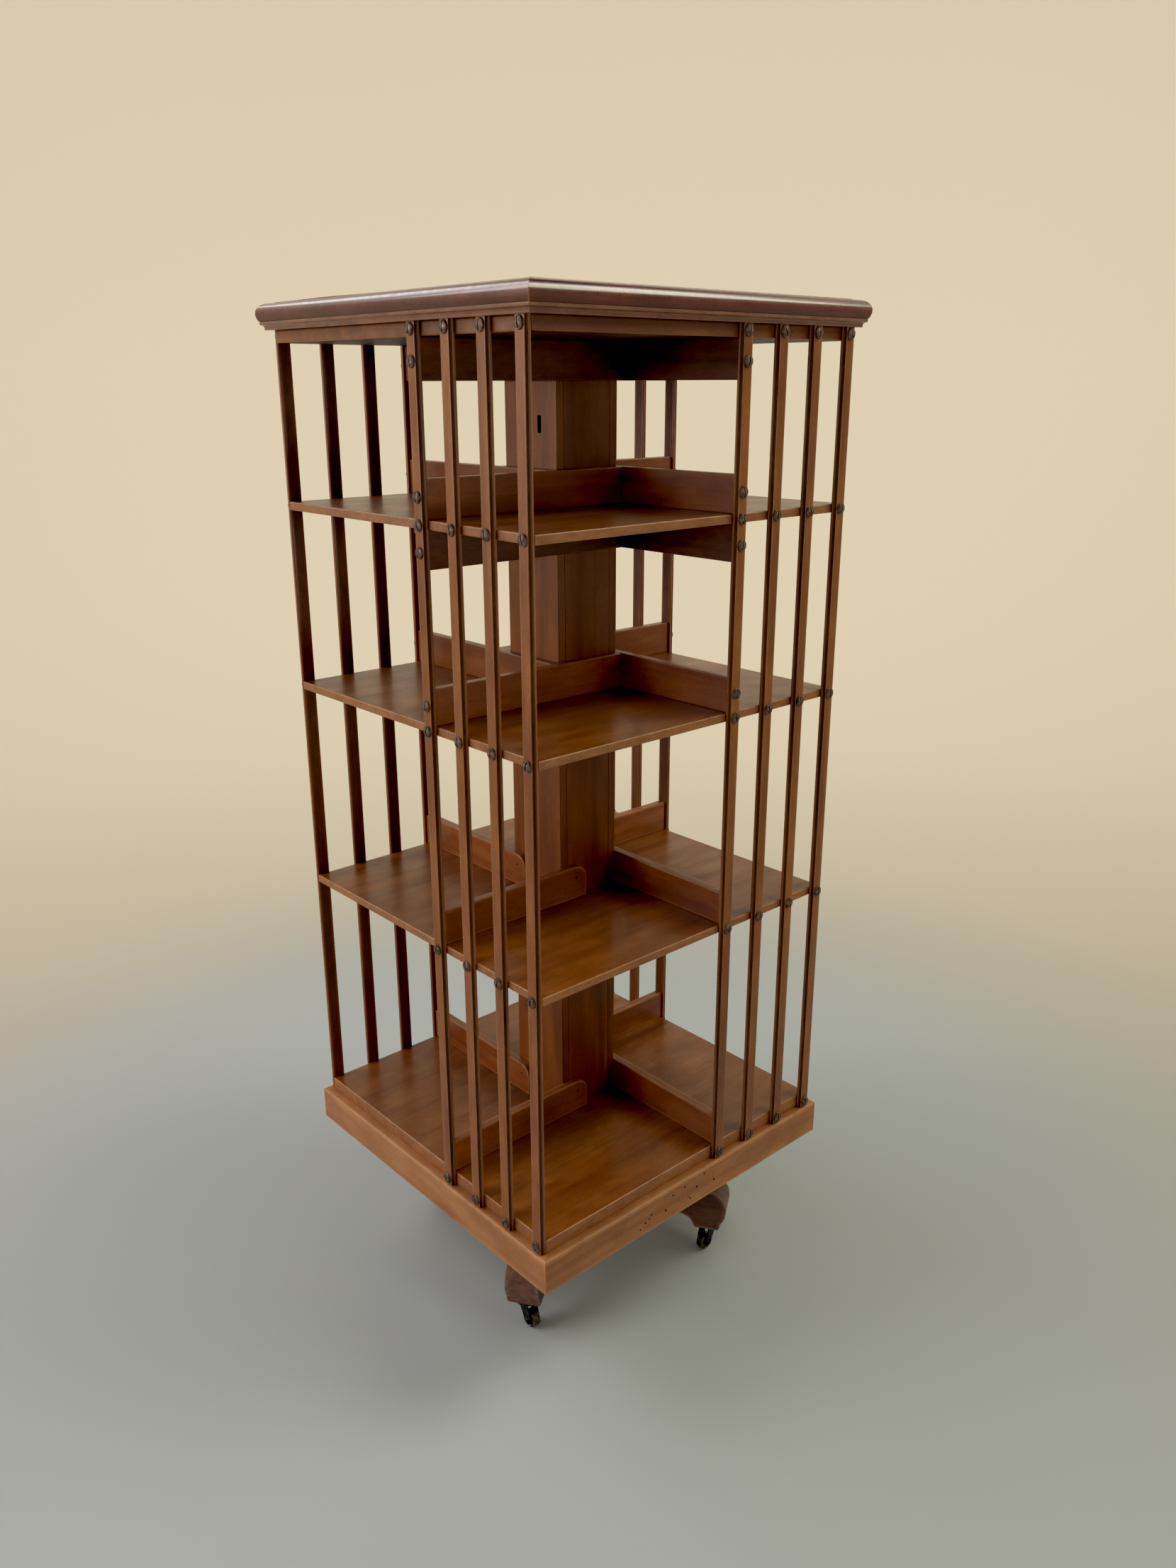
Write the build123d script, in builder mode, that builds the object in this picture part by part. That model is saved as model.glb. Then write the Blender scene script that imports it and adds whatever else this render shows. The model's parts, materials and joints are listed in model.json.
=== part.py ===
from build123d import *
from math import sin, sqrt
import os

# A revolving bookcase: a slatted four-tier case that turns on a low cross-shaped base.
# The origin is on the floor at the spin axis, +Z is up, and lengths are in millimetres.
# Each side of the case has an open bay on its left and slats on its right, seen from outside.

# Case plan and heights
case_width = 556.0  # plan size of every board of the case, which is square
plinth_bottom = 200.0  # clear height under the case
plinth_height = 53.5
bottom_board_thickness = 21.0
shelf_thickness = 12.0
top_board_thickness = 17.0
tier_clear_heights = (357.0, 302.5, 253.5, 214.5)  # lowest tier first
board_arris = 0.8

# Plinth frame
plinth_ledge = 13.0  # how far the plinth stands out past the boards
plinth_thickness = 26.0
plinth_arris = 1.0

# Slats, with a cove and a bead along both edges
slats_per_side = 4
slat_thickness = 8.5
slat_face_width = 15.0
slat_back_width = 21.0
slat_bead_radius = 2.1
slat_cove_depth = 1.0

# Centre column
column_width = 110.0
column_board = 13.0
column_plate_width = 7.4
column_plate_height = 23.0
column_plate_thickness = 2.0
column_plate_along = 19.4  # from the middle of the left face, towards its slatted end
column_plate_rise = 108.5  # from the top tier's shelf to the middle of the plate

# Rails, which run inwards from the first slat of each side along the column
rail_thickness = 13.0
rail_height = 50.0
rail_screw_rise = 28.0  # from the board that the rail touches to its screw
short_rail_overlap = 40.0  # how far a short rail runs across the column's face
short_rail_corner = 18.0
pin_from_end = 20.0
pin_rise = 34.0
pin_head_radius = 1.8
pin_head_height = 0.8
pin_shank_radius = 0.9
pin_length = 22.0

# Slat screws and their raised cups
screw_shank_radius = 2.2
screw_length = 26.0
screw_point = 3.0
screw_head_radius = 5.4
screw_head_seat = 2.4
screw_dome = 1.6
screw_slot_width = 1.2
screw_slot_depth = 1.5
screw_slot_lean = 14.0  # greatest lean of a slot from upright, in degrees
cup_radius = 7.4
cup_rim_radius = 6.5
cup_height = 2.5

# Top moulding and panel
moulding_height = 34.5
moulding_overhang = 11.2  # of its lower edge past the boards
moulding_foot = 2.1
moulding_cove = 4.6
moulding_fillet = 4.6
moulding_step = 0.8
bullnose_upper_radius = 13.0
bullnose_lower_radius = 19.0
moulding_width = 50.0
panel_thickness = 12.0
panel_rise = 2.5  # how far the panel stands above the moulding
panel_arris = 0.8

# Base: two bars halved together, turned from the sides of the case
base_turn = 34.3  # from +X to the first arm, in degrees
foot_bottom = 50.0
bar_depth = 76.0
bar_width = 51.6
arm_reach = 275.5  # from the spin axis to the widest point of the scroll
scroll_radius = 39.0
toe_setback = 11.0  # from the widest point of the scroll to the face of the toe
foot_length = 41.0
bar_underside = 74.0
underside_cove = 20.0
bar_arris = 1.5

# Centre post, pivot and guide ring
post_radius = 30.0
post_tenon_radius = 20.0
post_foot_radius = 44.0
post_foot_height = 12.0
bearer_thickness = 30.0
pivot_radius = 8.0
pivot_depth = 24.0
pivot_flange_radius = 22.0
pivot_flange_thickness = 5.0
pivot_gap = 6.0  # between the flanges of the pivot pin and the pivot cup
pivot_tang_radius = 6.0
pivot_tang_length = 60.0
cup_flange_radius = 24.0
cup_flange_thickness = 4.0
cup_boss_radius = 13.0
cup_roof = 4.0
collar_thickness = 2.5
collar_height = 32.0
ring_outer_radius = 41.0
ring_flange_radius = 56.0
ring_flange_thickness = 4.0

# Small countersunk screws of the metal fittings
fitting_screw_radius = 1.7
fitting_head_radius = 3.2
fitting_screw_length = 14.0
fitting_slot_width = 0.8
fitting_slot_depth = 0.7
ring_screw_count = 4
cup_screw_count = 4
pivot_screw_count = 3
plate_screw_count = 3

# Casters
caster_plate_margin = 0.5  # round the plate, under the foot
caster_plate_thickness = 3.0
plate_screw_inset = 5.5  # from the plate's rim to its screws
wheel_radius = 14.0
wheel_width = 13.0
wheel_round = 2.5
hub_radius = 5.5
hub_rise = 0.8
caster_trail = 9.0
axle_radius = 2.5
rivet_radius = 4.0
rivet_height = 1.2
horn_head_radius = 13.0
horn_head_thickness = 4.0
horn_neck_width = 16.0
horn_neck_depth = 3.0
cheek_thickness = 2.4
eye_radius = 6.5
kingpin_radius = 4.5
kingpin_head_radius = 6.5
kingpin_head_height = 2.5
kingpin_recess_radius = 8.0
kingpin_recess_depth = 6.0
caster_turns = {"back_right": 125.0, "back_left": 40.0, "front_left": 275.0, "front_right": 181.0}

# Clearances
joint_fit = 0.1  # between pieces of wood that slot together
screw_fit = 0.05  # between a screw, rivet or bush and its hole
running_fit = 0.05  # between a shaft and its bearing
seat_gap = 0.3  # between faces that turn over each other

# Heights of the boards, from the bottom board to the top board
plinth_top = plinth_bottom + plinth_height
board_bottoms = [plinth_top]
board_tops = [plinth_top + bottom_board_thickness]
for clear_height in tier_clear_heights[:-1]:
    board_bottoms.append(board_tops[-1] + clear_height)
    board_tops.append(board_bottoms[-1] + shelf_thickness)
board_bottoms.append(board_tops[-1] + tier_clear_heights[-1])
board_tops.append(board_bottoms[-1] + top_board_thickness)
board_middles = [(low + high) / 2 for low, high in zip(board_bottoms, board_tops)]
board_names = ("bottom_board", "lower_shelf", "middle_shelf", "upper_shelf", "top_board")
ring_screw_circle = (ring_outer_radius + ring_flange_radius) / 2
slat_top = board_tops[-1]

# Plan sizes and the slats' places along a side
sides = {"front": 0.0, "right": 90.0, "back": 180.0, "left": 270.0}
case_half = case_width / 2
plinth_half = case_half + plinth_ledge
column_half = column_width / 2
column_inner = column_width - 2 * column_board
slat_outside = case_half + slat_thickness
first_slat = column_half + rail_thickness / 2
last_slat = case_half - slat_back_width / 2
slat_pitch = (last_slat - first_slat) / (slats_per_side - 1)
slat_places = [first_slat + slat_pitch * number for number in range(slats_per_side)]

# Rails as pairs of heights: the lower edge and the screw in the end
hanging_rails_at = [
    (board - rail_height, board - rail_screw_rise) for board in (board_bottoms[4], board_bottoms[3])
]
long_rails_at = [(board, board + rail_screw_rise) for board in (board_tops[3], board_tops[2])]
short_rail_floors = (board_tops[1], board_tops[0])
rail_screws_at = [screw_at for _, screw_at in hanging_rails_at + long_rails_at]
screw_hole_depth = screw_length - slat_thickness + screw_fit
pin_along = short_rail_overlap - column_half - pin_from_end


def level(height, turn=0.0):
    """A horizontal plane at a height, turned about the spin axis."""
    return Plane.XY.rotated((0, 0, turn)).offset(height)


def spot(turn, along, out, height):
    """A horizontal plane with its origin on one side of the case and y pointing inwards."""
    return Plane(level(height, turn).location * Location((along, -out, 0)))


def side_face(turn, out):
    """The upright plane of one side, facing out, with x along the side and y up."""
    return Plane.XZ.rotated((0, 0, turn)).offset(out)


def side_section(turn):
    """The upright plane across the middle of one side, with x pointing out and y up."""
    return Plane(origin=(0, 0, 0), x_dir=(0, -1, 0), z_dir=(-1, 0, 0)).rotated((0, 0, turn))


def rail_face(turn, out):
    """The upright plane along the rail of one side, with x running inwards and y up."""
    return Plane.YZ.rotated((0, 0, turn)).offset(out)


def on_plane(plane, x, y, lean=0.0):
    """A place on a plane, leaned about the plane's normal."""
    return plane.location * Location((x, y, 0), (0, 0, lean))


def keep_mitre(turn, half, low, high):
    """Cut the piece being built to the quarter of the plan that belongs to one side."""
    with BuildSketch(level(low, turn)) as quarter:
        with BuildLine():
            Polyline((0, 0), (half, -half), (-half, -half), close=True)
        make_face()
    extrude(quarter.sketch, amount=high - low, mode=Mode.INTERSECT)


def save(piece):
    """Write one finished piece under its own label."""
    export_step(piece.part, f"parts/{piece.part.label}.step")


os.makedirs("parts", exist_ok=True)

# Plinth rails, mitred at the corners
for side, turn in sides.items():
    with BuildPart() as plinth_rail:
        with BuildSketch(side_section(turn)) as rail_outline:
            with Locations((plinth_half - plinth_thickness / 2, plinth_bottom + plinth_height / 2)):
                Rectangle(plinth_thickness, plinth_height)
            chamfer(rail_outline.vertices().group_by(Axis.X)[-1], plinth_arris)
        extrude(amount=plinth_half, both=True)
        keep_mitre(turn, plinth_half, plinth_bottom, plinth_top)
    plinth_rail.part.label = f"plinth_rail_{side}"
    save(plinth_rail)

# Boards, drilled along their edges for the slat screws
for number, name in enumerate(board_names):
    with BuildPart() as board:
        with BuildSketch(level(board_bottoms[number])):
            Rectangle(case_width, case_width)
            if name == "bottom_board":
                Circle(ring_outer_radius + screw_fit, mode=Mode.SUBTRACT)
            elif name != "top_board":
                column_hole = column_width + 2 * joint_fit
                Rectangle(column_hole, column_hole, mode=Mode.SUBTRACT)
        extrude(amount=board_tops[number] - board_bottoms[number])
        chamfer(board.edges().filter_by(lambda edge: abs(edge.length - case_width) < joint_fit), board_arris)
        for turn in sides.values():
            with BuildSketch(side_face(turn, case_half)):
                with Locations(*[(along, board_middles[number]) for along in slat_places]):
                    Circle(screw_shank_radius + screw_fit)
            extrude(amount=-screw_hole_depth, mode=Mode.SUBTRACT)
        if name == "bottom_board":
            with BuildSketch(level(plinth_top)):
                with PolarLocations(ring_screw_circle, ring_screw_count):
                    Circle(fitting_screw_radius + screw_fit)
            extrude(amount=fitting_screw_length - ring_flange_thickness + screw_fit, mode=Mode.SUBTRACT)
    board.part.label = name
    save(board)

# Slats, standing on the plinth's ledge and screwed to the edge of every board
with BuildSketch() as slat_outline:
    bead_root = slat_back_width / 2 - slat_bead_radius
    face_half = slat_face_width / 2
    cove_bottom = ((bead_root + face_half) / 2 - slat_cove_depth, -slat_bead_radius - slat_thickness / 2)
    with BuildLine():
        Line((0, 0), (bead_root, 0))
        ThreePointArc(
            (bead_root, 0),
            (slat_back_width / 2, -slat_bead_radius),
            (bead_root, -2 * slat_bead_radius),
        )
        ThreePointArc((bead_root, -2 * slat_bead_radius), cove_bottom, (face_half, -slat_thickness))
        Line((face_half, -slat_thickness), (0, -slat_thickness))
        mirror(about=Plane.YZ)
    make_face()
for side, turn in sides.items():
    for number, along in enumerate(slat_places):
        screws_at = board_middles + (rail_screws_at if number == 0 else [])
        with BuildPart() as slat:
            with BuildSketch(spot(turn, along, case_half, plinth_top)):
                add(slat_outline.sketch)
            extrude(amount=slat_top - plinth_top)
            with BuildSketch(side_face(turn, slat_outside)):
                with Locations(*[(along, screw_at) for screw_at in screws_at]):
                    Circle(screw_shank_radius + screw_fit)
            extrude(amount=-slat_thickness, mode=Mode.SUBTRACT)
        slat.part.label = f"slat_{side}_{number + 1}"
        save(slat)

# Slat screws, point at the back, with their heads standing out of their cups
with BuildPart() as one_screw:
    with BuildSketch(Plane.XZ):
        with BuildLine():
            Polyline(
                (0, screw_head_seat + screw_dome),
                (0, -screw_length),
                (screw_shank_radius, screw_point - screw_length),
                (screw_shank_radius, 0),
                (screw_head_radius, screw_head_seat),
            )
            TangentArc(
                (0, screw_head_seat + screw_dome), (screw_head_radius, screw_head_seat), tangent=(1, 0)
            )
        make_face()
    revolve(axis=Axis.Z)
    with BuildSketch(Plane.XY.offset(screw_head_seat + screw_dome)):
        Rectangle(screw_slot_width, 2 * screw_head_radius)
    extrude(amount=-screw_slot_depth, mode=Mode.SUBTRACT)
with BuildPart() as one_cup:
    with BuildSketch(Plane.XZ):
        with BuildLine():
            Polyline(
                (cup_rim_radius, cup_height),
                (screw_head_radius + screw_fit, cup_height),
                (screw_head_radius + screw_fit, screw_head_seat),
                (screw_shank_radius + screw_fit, 0),
                (cup_radius, 0),
            )
            TangentArc((cup_radius, 0), (cup_rim_radius, cup_height), tangent=(0, 1))
        make_face()
    revolve(axis=Axis.Z)
screw_places = []
cup_places = []
for turn in sides.values():
    for number, along in enumerate(slat_places):
        for screw_at in board_middles + (rail_screws_at if number == 0 else []):
            lean = screw_slot_lean * sin(len(screw_places))
            screw_places.append(on_plane(side_face(turn, slat_outside), along, screw_at, lean))
            cup_places.append(on_plane(side_face(turn, slat_outside), along, screw_at))
with BuildPart() as slat_screws:
    with Locations(*screw_places):
        add(one_screw.part)
slat_screws.part.label = "slat_screws"
save(slat_screws)
with BuildPart() as screw_cups:
    with Locations(*cup_places):
        add(one_cup.part)
screw_cups.part.label = "screw_cups"
save(screw_cups)

# Column boards: those of the left and right cover the edges of the front and back ones
column_bottom = board_tops[0]
column_top = board_bottoms[-1]
plate_middle = board_tops[3] + column_plate_rise
for side, turn in sides.items():
    with BuildPart() as column_side:
        with BuildSketch(side_face(turn, column_half)):
            with Locations((0, (column_bottom + column_top) / 2)):
                board_width = column_width if side in ("left", "right") else column_inner
                Rectangle(board_width, column_top - column_bottom)
        extrude(amount=-column_board)
        with BuildSketch(side_face(turn, column_half)):
            with Locations(*[(pin_along, floor + pin_rise) for floor in short_rail_floors]):
                Circle(pin_shank_radius + screw_fit)
        extrude(amount=rail_thickness - pin_length - screw_fit, mode=Mode.SUBTRACT)
        if side == "left":
            with BuildSketch(side_face(turn, column_half)):
                with Locations((column_plate_along, plate_middle)):
                    Rectangle(column_plate_width, column_plate_height)
            extrude(amount=-column_plate_thickness, mode=Mode.SUBTRACT)
    column_side.part.label = f"column_{side}"
    save(column_side)

# Small metal plate let into the left board of the column
with BuildPart() as column_plate:
    with BuildSketch(side_face(sides["left"], column_half)):
        with Locations((column_plate_along, plate_middle)):
            Rectangle(column_plate_width - joint_fit, column_plate_height - joint_fit)
    extrude(amount=-column_plate_thickness)
column_plate.part.label = "column_plate"
save(column_plate)


def build_rail(turn, floor, inner_end, corner):
    """Add one rail of a side to the piece being built, from the slats to its inner end."""
    with BuildSketch(rail_face(turn, column_half)) as rail_outline:
        with Locations((inner_end, floor)):
            Rectangle(case_half + inner_end, rail_height, align=(Align.MAX, Align.MIN))
        if corner > 0:
            fillet(rail_outline.vertices().sort_by(Axis.Y)[-2:].sort_by(Axis.X)[-1], corner)
    extrude(rail_outline.sketch, amount=rail_thickness)


# Hanging rails and long stop rails, which meet in a pinwheel around the column
for name, rails_at in (("hanging_rails", hanging_rails_at), ("long_stop_rails", long_rails_at)):
    with BuildPart() as long_rails:
        for floor, screw_at in rails_at:
            for turn in sides.values():
                build_rail(turn, floor, column_half - joint_fit, 0)
                with BuildSketch(side_face(turn, case_half)):
                    with Locations((first_slat, screw_at)):
                        Circle(screw_shank_radius + screw_fit)
                extrude(amount=-screw_hole_depth, mode=Mode.SUBTRACT)
    long_rails.part.label = name
    save(long_rails)

# Short stop rails, which end part-way across the column and are pinned to it
with BuildPart() as short_rails:
    for floor in short_rail_floors:
        for turn in sides.values():
            build_rail(turn, floor, short_rail_overlap - column_half, short_rail_corner)
            with BuildSketch(rail_face(turn, column_half)):
                with Locations((pin_along, floor + pin_rise)):
                    Circle(pin_shank_radius + screw_fit)
            extrude(amount=rail_thickness, mode=Mode.SUBTRACT)
short_rails.part.label = "short_stop_rails"
save(short_rails)

# Pins of the short stop rails
with BuildPart() as one_pin:
    with BuildSketch(Plane.XZ):
        with BuildLine():
            Polyline(
                (0, pin_head_height),
                (0, -pin_length),
                (pin_shank_radius, -pin_length),
                (pin_shank_radius, 0),
                (pin_head_radius, 0),
            )
            TangentArc((0, pin_head_height), (pin_head_radius, 0), tangent=(1, 0))
        make_face()
    revolve(axis=Axis.Z)
pin_places = [
    on_plane(rail_face(turn, column_half + rail_thickness), pin_along, floor + pin_rise)
    for floor in short_rail_floors
    for turn in sides.values()
]
with BuildPart() as rail_pins:
    with Locations(*pin_places):
        add(one_pin.part)
rail_pins.part.label = "rail_pins"
save(rail_pins)

# Top moulding, mitred at the corners and rebated for the panel
moulding_foot_out = case_half + moulding_overhang
cove_out = moulding_foot_out + moulding_cove
cove_low = slat_top + moulding_foot
nose_out = cove_out + moulding_step
nose_low = cove_low + moulding_cove + moulding_fillet
moulding_top = slat_top + moulding_height
nose_middle = moulding_top - bullnose_upper_radius
nose_drop = nose_middle - nose_low
nose_reach = nose_out + bullnose_lower_radius - sqrt(bullnose_lower_radius**2 - nose_drop**2)
rebate_floor = moulding_top + panel_rise - panel_thickness
for side, turn in sides.items():
    with BuildPart() as moulding:
        with BuildSketch(side_section(turn)):
            with BuildLine():
                Polyline(
                    (nose_reach - moulding_width, slat_top),
                    (moulding_foot_out, slat_top),
                    (moulding_foot_out, cove_low),
                )
                ThreePointArc(
                    (moulding_foot_out, cove_low),
                    (cove_out - moulding_cove * sqrt(0.5), cove_low + moulding_cove * sqrt(0.5)),
                    (cove_out, cove_low + moulding_cove),
                )
                Polyline((cove_out, cove_low + moulding_cove), (cove_out, nose_low), (nose_out, nose_low))
                TangentArc((nose_reach, nose_middle), (nose_out, nose_low), tangent=(0, -1))
                TangentArc(
                    (nose_reach, nose_middle),
                    (nose_reach - bullnose_upper_radius, moulding_top),
                    tangent=(0, 1),
                )
                Polyline(
                    (nose_reach - bullnose_upper_radius, moulding_top),
                    (case_half, moulding_top),
                    (case_half, rebate_floor),
                    (nose_reach - moulding_width, rebate_floor),
                    (nose_reach - moulding_width, slat_top),
                )
            make_face()
        extrude(amount=nose_reach, both=True)
        keep_mitre(turn, nose_reach, slat_top, moulding_top)
    moulding.part.label = f"top_moulding_{side}"
    save(moulding)

# Top panel, seated in the rebate of the moulding
with BuildPart() as top_panel:
    panel_width = case_width - 2 * joint_fit
    with BuildSketch(level(rebate_floor)):
        Rectangle(panel_width, panel_width)
    extrude(amount=panel_thickness)
    chamfer(top_panel.faces().sort_by(Axis.Z)[-1].edges(), panel_arris)
top_panel.part.label = "top_panel"
save(top_panel)

# Cross bars, halved together at the middle, with a scrolled foot at each end
bar_top = foot_bottom + bar_depth
foot_outer = arm_reach - toe_setback
foot_inner = foot_outer - foot_length
scroll_middle = (arm_reach - scroll_radius, bar_top - scroll_radius)
toe_height = scroll_middle[1] - sqrt(scroll_radius**2 - (foot_outer - scroll_middle[0]) ** 2)
cove_middle = (foot_inner - underside_cove, bar_underside - underside_cove)
halving = (bar_top + bar_underside) / 2
swivel_reach = (foot_outer + foot_inner) / 2
caster_plate_radius = foot_length / 2 - caster_plate_margin
plate_screw_circle = caster_plate_radius - plate_screw_inset
with BuildSketch() as bar_outline:
    with BuildLine():
        Line((0, bar_top), (scroll_middle[0], bar_top))
        ThreePointArc(
            (scroll_middle[0], bar_top), (arm_reach, scroll_middle[1]), (foot_outer, toe_height)
        )
        Polyline(
            (foot_outer, toe_height),
            (foot_outer, foot_bottom),
            (foot_inner, foot_bottom),
            (foot_inner, cove_middle[1]),
        )
        ThreePointArc(
            (foot_inner, cove_middle[1]),
            (
                cove_middle[0] + underside_cove * sqrt(0.5),
                cove_middle[1] + underside_cove * sqrt(0.5),
            ),
            (cove_middle[0], bar_underside),
        )
        Line((cove_middle[0], bar_underside), (0, bar_underside))
        mirror(about=Plane.YZ)
    make_face()
for name, bar_turn, notch_low, notch_high in (
    ("lower_cross_bar", base_turn, halving, bar_top),
    ("upper_cross_bar", base_turn + 90, bar_underside, halving),
):
    with BuildPart() as bar:
        with BuildSketch(Plane.XZ.rotated((0, 0, bar_turn))):
            add(bar_outline.sketch)
        extrude(amount=bar_width / 2, both=True)
        outside = bar.faces().filter_by(
            lambda face: face.normal_at(face.center()).Z > 0.9 or face.center().length > foot_outer
        )
        chamfer(
            [edge for edge in outside.edges() if edge.length > bar_width + joint_fit], bar_arris
        )
        with BuildSketch(level(notch_low, bar_turn)):
            Rectangle(bar_width + 2 * joint_fit, bar_width + 2 * joint_fit)
        extrude(amount=notch_high - notch_low, mode=Mode.SUBTRACT)
        with BuildSketch(level(bar_underside)):
            Circle(post_tenon_radius + joint_fit)
        extrude(amount=bar_top - bar_underside, mode=Mode.SUBTRACT)
        for arm in (0, 180):
            foot_plane = Plane(
                level(foot_bottom, bar_turn + arm).location * Location((swivel_reach, 0, 0))
            )
            with BuildSketch(foot_plane):
                Circle(kingpin_recess_radius)
            extrude(amount=kingpin_recess_depth, mode=Mode.SUBTRACT)
            with BuildSketch(foot_plane):
                with PolarLocations(plate_screw_circle, plate_screw_count):
                    Circle(fitting_screw_radius + screw_fit)
            extrude(
                amount=fitting_screw_length - caster_plate_thickness + screw_fit, mode=Mode.SUBTRACT
            )
    bar.part.label = name
    save(bar)

# Centre post, tenoned through the cross bars and bored for the pivot pin's tang
bearer_low = column_top - bearer_thickness
cup_low = bearer_low - cup_flange_thickness
post_top = cup_low - pivot_gap - pivot_flange_thickness
pivot_screw_circle = (pivot_radius + pivot_flange_radius) / 2
with BuildPart() as centre_post:
    with BuildSketch(Plane.XZ):
        with BuildLine():
            Polyline(
                (post_radius, bar_top + post_foot_height),
                (post_radius, post_top),
                (0, post_top),
                (0, bar_underside),
                (post_tenon_radius, bar_underside),
                (post_tenon_radius, bar_top),
                (post_foot_radius, bar_top),
            )
            TangentArc(
                (post_foot_radius, bar_top), (post_radius, bar_top + post_foot_height), tangent=(0, 1)
            )
        make_face()
    revolve(axis=Axis.Z)
    with BuildSketch(level(post_top)):
        Circle(pivot_tang_radius + screw_fit)
    extrude(amount=-pivot_tang_length - screw_fit, mode=Mode.SUBTRACT)
    with BuildSketch(level(post_top)):
        with PolarLocations(pivot_screw_circle, pivot_screw_count):
            Circle(fitting_screw_radius + screw_fit)
    extrude(
        amount=pivot_flange_thickness - fitting_screw_length - screw_fit, mode=Mode.SUBTRACT
    )
centre_post.part.label = "centre_post"
save(centre_post)


def sink_holes(plane, circle, count, thickness):
    """Countersink a ring of screw holes in the plate being built, heads on the plane's side."""
    with Locations(plane):
        with PolarLocations(circle, count):
            CounterSinkHole(
                fitting_screw_radius + screw_fit, fitting_head_radius + screw_fit, depth=thickness
            )


# Pivot pin, flanged and screwed to the top of the post
cup_roof_low = cup_low + pivot_depth
with BuildPart() as pivot_pin:
    with BuildSketch(level(post_top)):
        Circle(pivot_flange_radius)
    extrude(amount=pivot_flange_thickness)
    with BuildSketch(level(post_top)):
        Circle(pivot_tang_radius)
    extrude(amount=-pivot_tang_length)
    with BuildSketch(level(post_top + pivot_flange_thickness)):
        Circle(pivot_radius)
    extrude(amount=cup_roof_low - seat_gap - post_top - pivot_flange_thickness)
    sink_holes(
        level(post_top + pivot_flange_thickness),
        pivot_screw_circle,
        pivot_screw_count,
        pivot_flange_thickness,
    )
pivot_pin.part.label = "pivot_pin"
save(pivot_pin)

# Pivot cup, which the case hangs from, let up into the bearer
cup_screw_circle = (cup_boss_radius + cup_flange_radius) / 2
with BuildPart() as pivot_cup:
    with BuildSketch(level(cup_low)):
        Circle(cup_flange_radius)
    extrude(amount=cup_flange_thickness)
    with BuildSketch(level(bearer_low)):
        Circle(cup_boss_radius)
    extrude(amount=cup_roof_low + cup_roof - bearer_low)
    with BuildSketch(level(cup_low)):
        Circle(pivot_radius + running_fit)
    extrude(amount=pivot_depth, mode=Mode.SUBTRACT)
    sink_holes(
        level(cup_low).rotated((180, 0, 0)), cup_screw_circle, cup_screw_count, cup_flange_thickness
    )
pivot_cup.part.label = "pivot_cup"
save(pivot_cup)

# Bearer, a block glued into the top of the column
with BuildPart() as pivot_bearer:
    with BuildSketch(level(bearer_low)):
        Rectangle(column_inner - 2 * joint_fit, column_inner - 2 * joint_fit)
        Circle(cup_boss_radius + screw_fit, mode=Mode.SUBTRACT)
        with PolarLocations(cup_screw_circle, cup_screw_count):
            Circle(fitting_screw_radius + screw_fit, mode=Mode.SUBTRACT)
    extrude(amount=bearer_thickness)
pivot_bearer.part.label = "pivot_bearer"
save(pivot_bearer)

# Collar on the post, and the guide ring of the bottom board that turns round it
collar_low = (plinth_top + board_tops[0] - collar_height) / 2
with BuildPart() as post_collar:
    with BuildSketch(level(collar_low)):
        Circle(post_radius + collar_thickness)
        Circle(post_radius, mode=Mode.SUBTRACT)
    extrude(amount=collar_height)
post_collar.part.label = "post_collar"
save(post_collar)
with BuildPart() as guide_ring:
    with BuildSketch(level(plinth_top - ring_flange_thickness)):
        Circle(ring_flange_radius)
    extrude(amount=ring_flange_thickness)
    with BuildSketch(level(plinth_top)):
        Circle(ring_outer_radius)
    extrude(amount=bottom_board_thickness)
    with BuildSketch(level(plinth_top - ring_flange_thickness)):
        Circle(post_radius + collar_thickness + running_fit)
    extrude(amount=ring_flange_thickness + bottom_board_thickness, mode=Mode.SUBTRACT)
    sink_holes(
        level(plinth_top - ring_flange_thickness).rotated((180, 0, 0)),
        ring_screw_circle,
        ring_screw_count,
        ring_flange_thickness,
    )
guide_ring.part.label = "guide_ring"
save(guide_ring)

# Countersunk screws of the fittings, heads up at the origin
with BuildPart() as one_fitting_screw:
    head_height = fitting_head_radius - fitting_screw_radius
    with BuildSketch(Plane.XZ):
        with BuildLine():
            Polyline(
                (0, 0),
                (fitting_head_radius, 0),
                (fitting_screw_radius, -head_height),
                (fitting_screw_radius, -fitting_screw_length),
                (0, -fitting_screw_length),
                close=True,
            )
        make_face()
    revolve(axis=Axis.Z)
    with BuildSketch(Plane.XY):
        Rectangle(fitting_slot_width, 2 * fitting_head_radius)
    extrude(amount=-fitting_slot_depth, mode=Mode.SUBTRACT)


def screw_ring(plane, circle, count):
    """Add a ring of fitting screws to the piece being built, heads on the plane."""
    with Locations(plane):
        with PolarLocations(circle, count):
            add(one_fitting_screw.part)


with BuildPart() as bearing_screws:
    screw_ring(level(cup_low).rotated((180, 0, 0)), cup_screw_circle, cup_screw_count)
    screw_ring(
        level(plinth_top - ring_flange_thickness).rotated((180, 0, 0)),
        ring_screw_circle,
        ring_screw_count,
    )
bearing_screws.part.label = "bearing_screws"
save(bearing_screws)

# Casters: a screwed plate under each foot, with a trailing wheel in a horn
plate_low = foot_bottom - caster_plate_thickness
caster_places = {
    name: level(0, base_turn + 90 * number).location * Location((swivel_reach, 0, 0))
    for number, name in enumerate(caster_turns)
}


def under_foot(place, height):
    """The downward plane under one foot at a height, on the swivel's axis."""
    return Plane(place * Location((0, 0, height), (180, 0, 0)))


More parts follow.
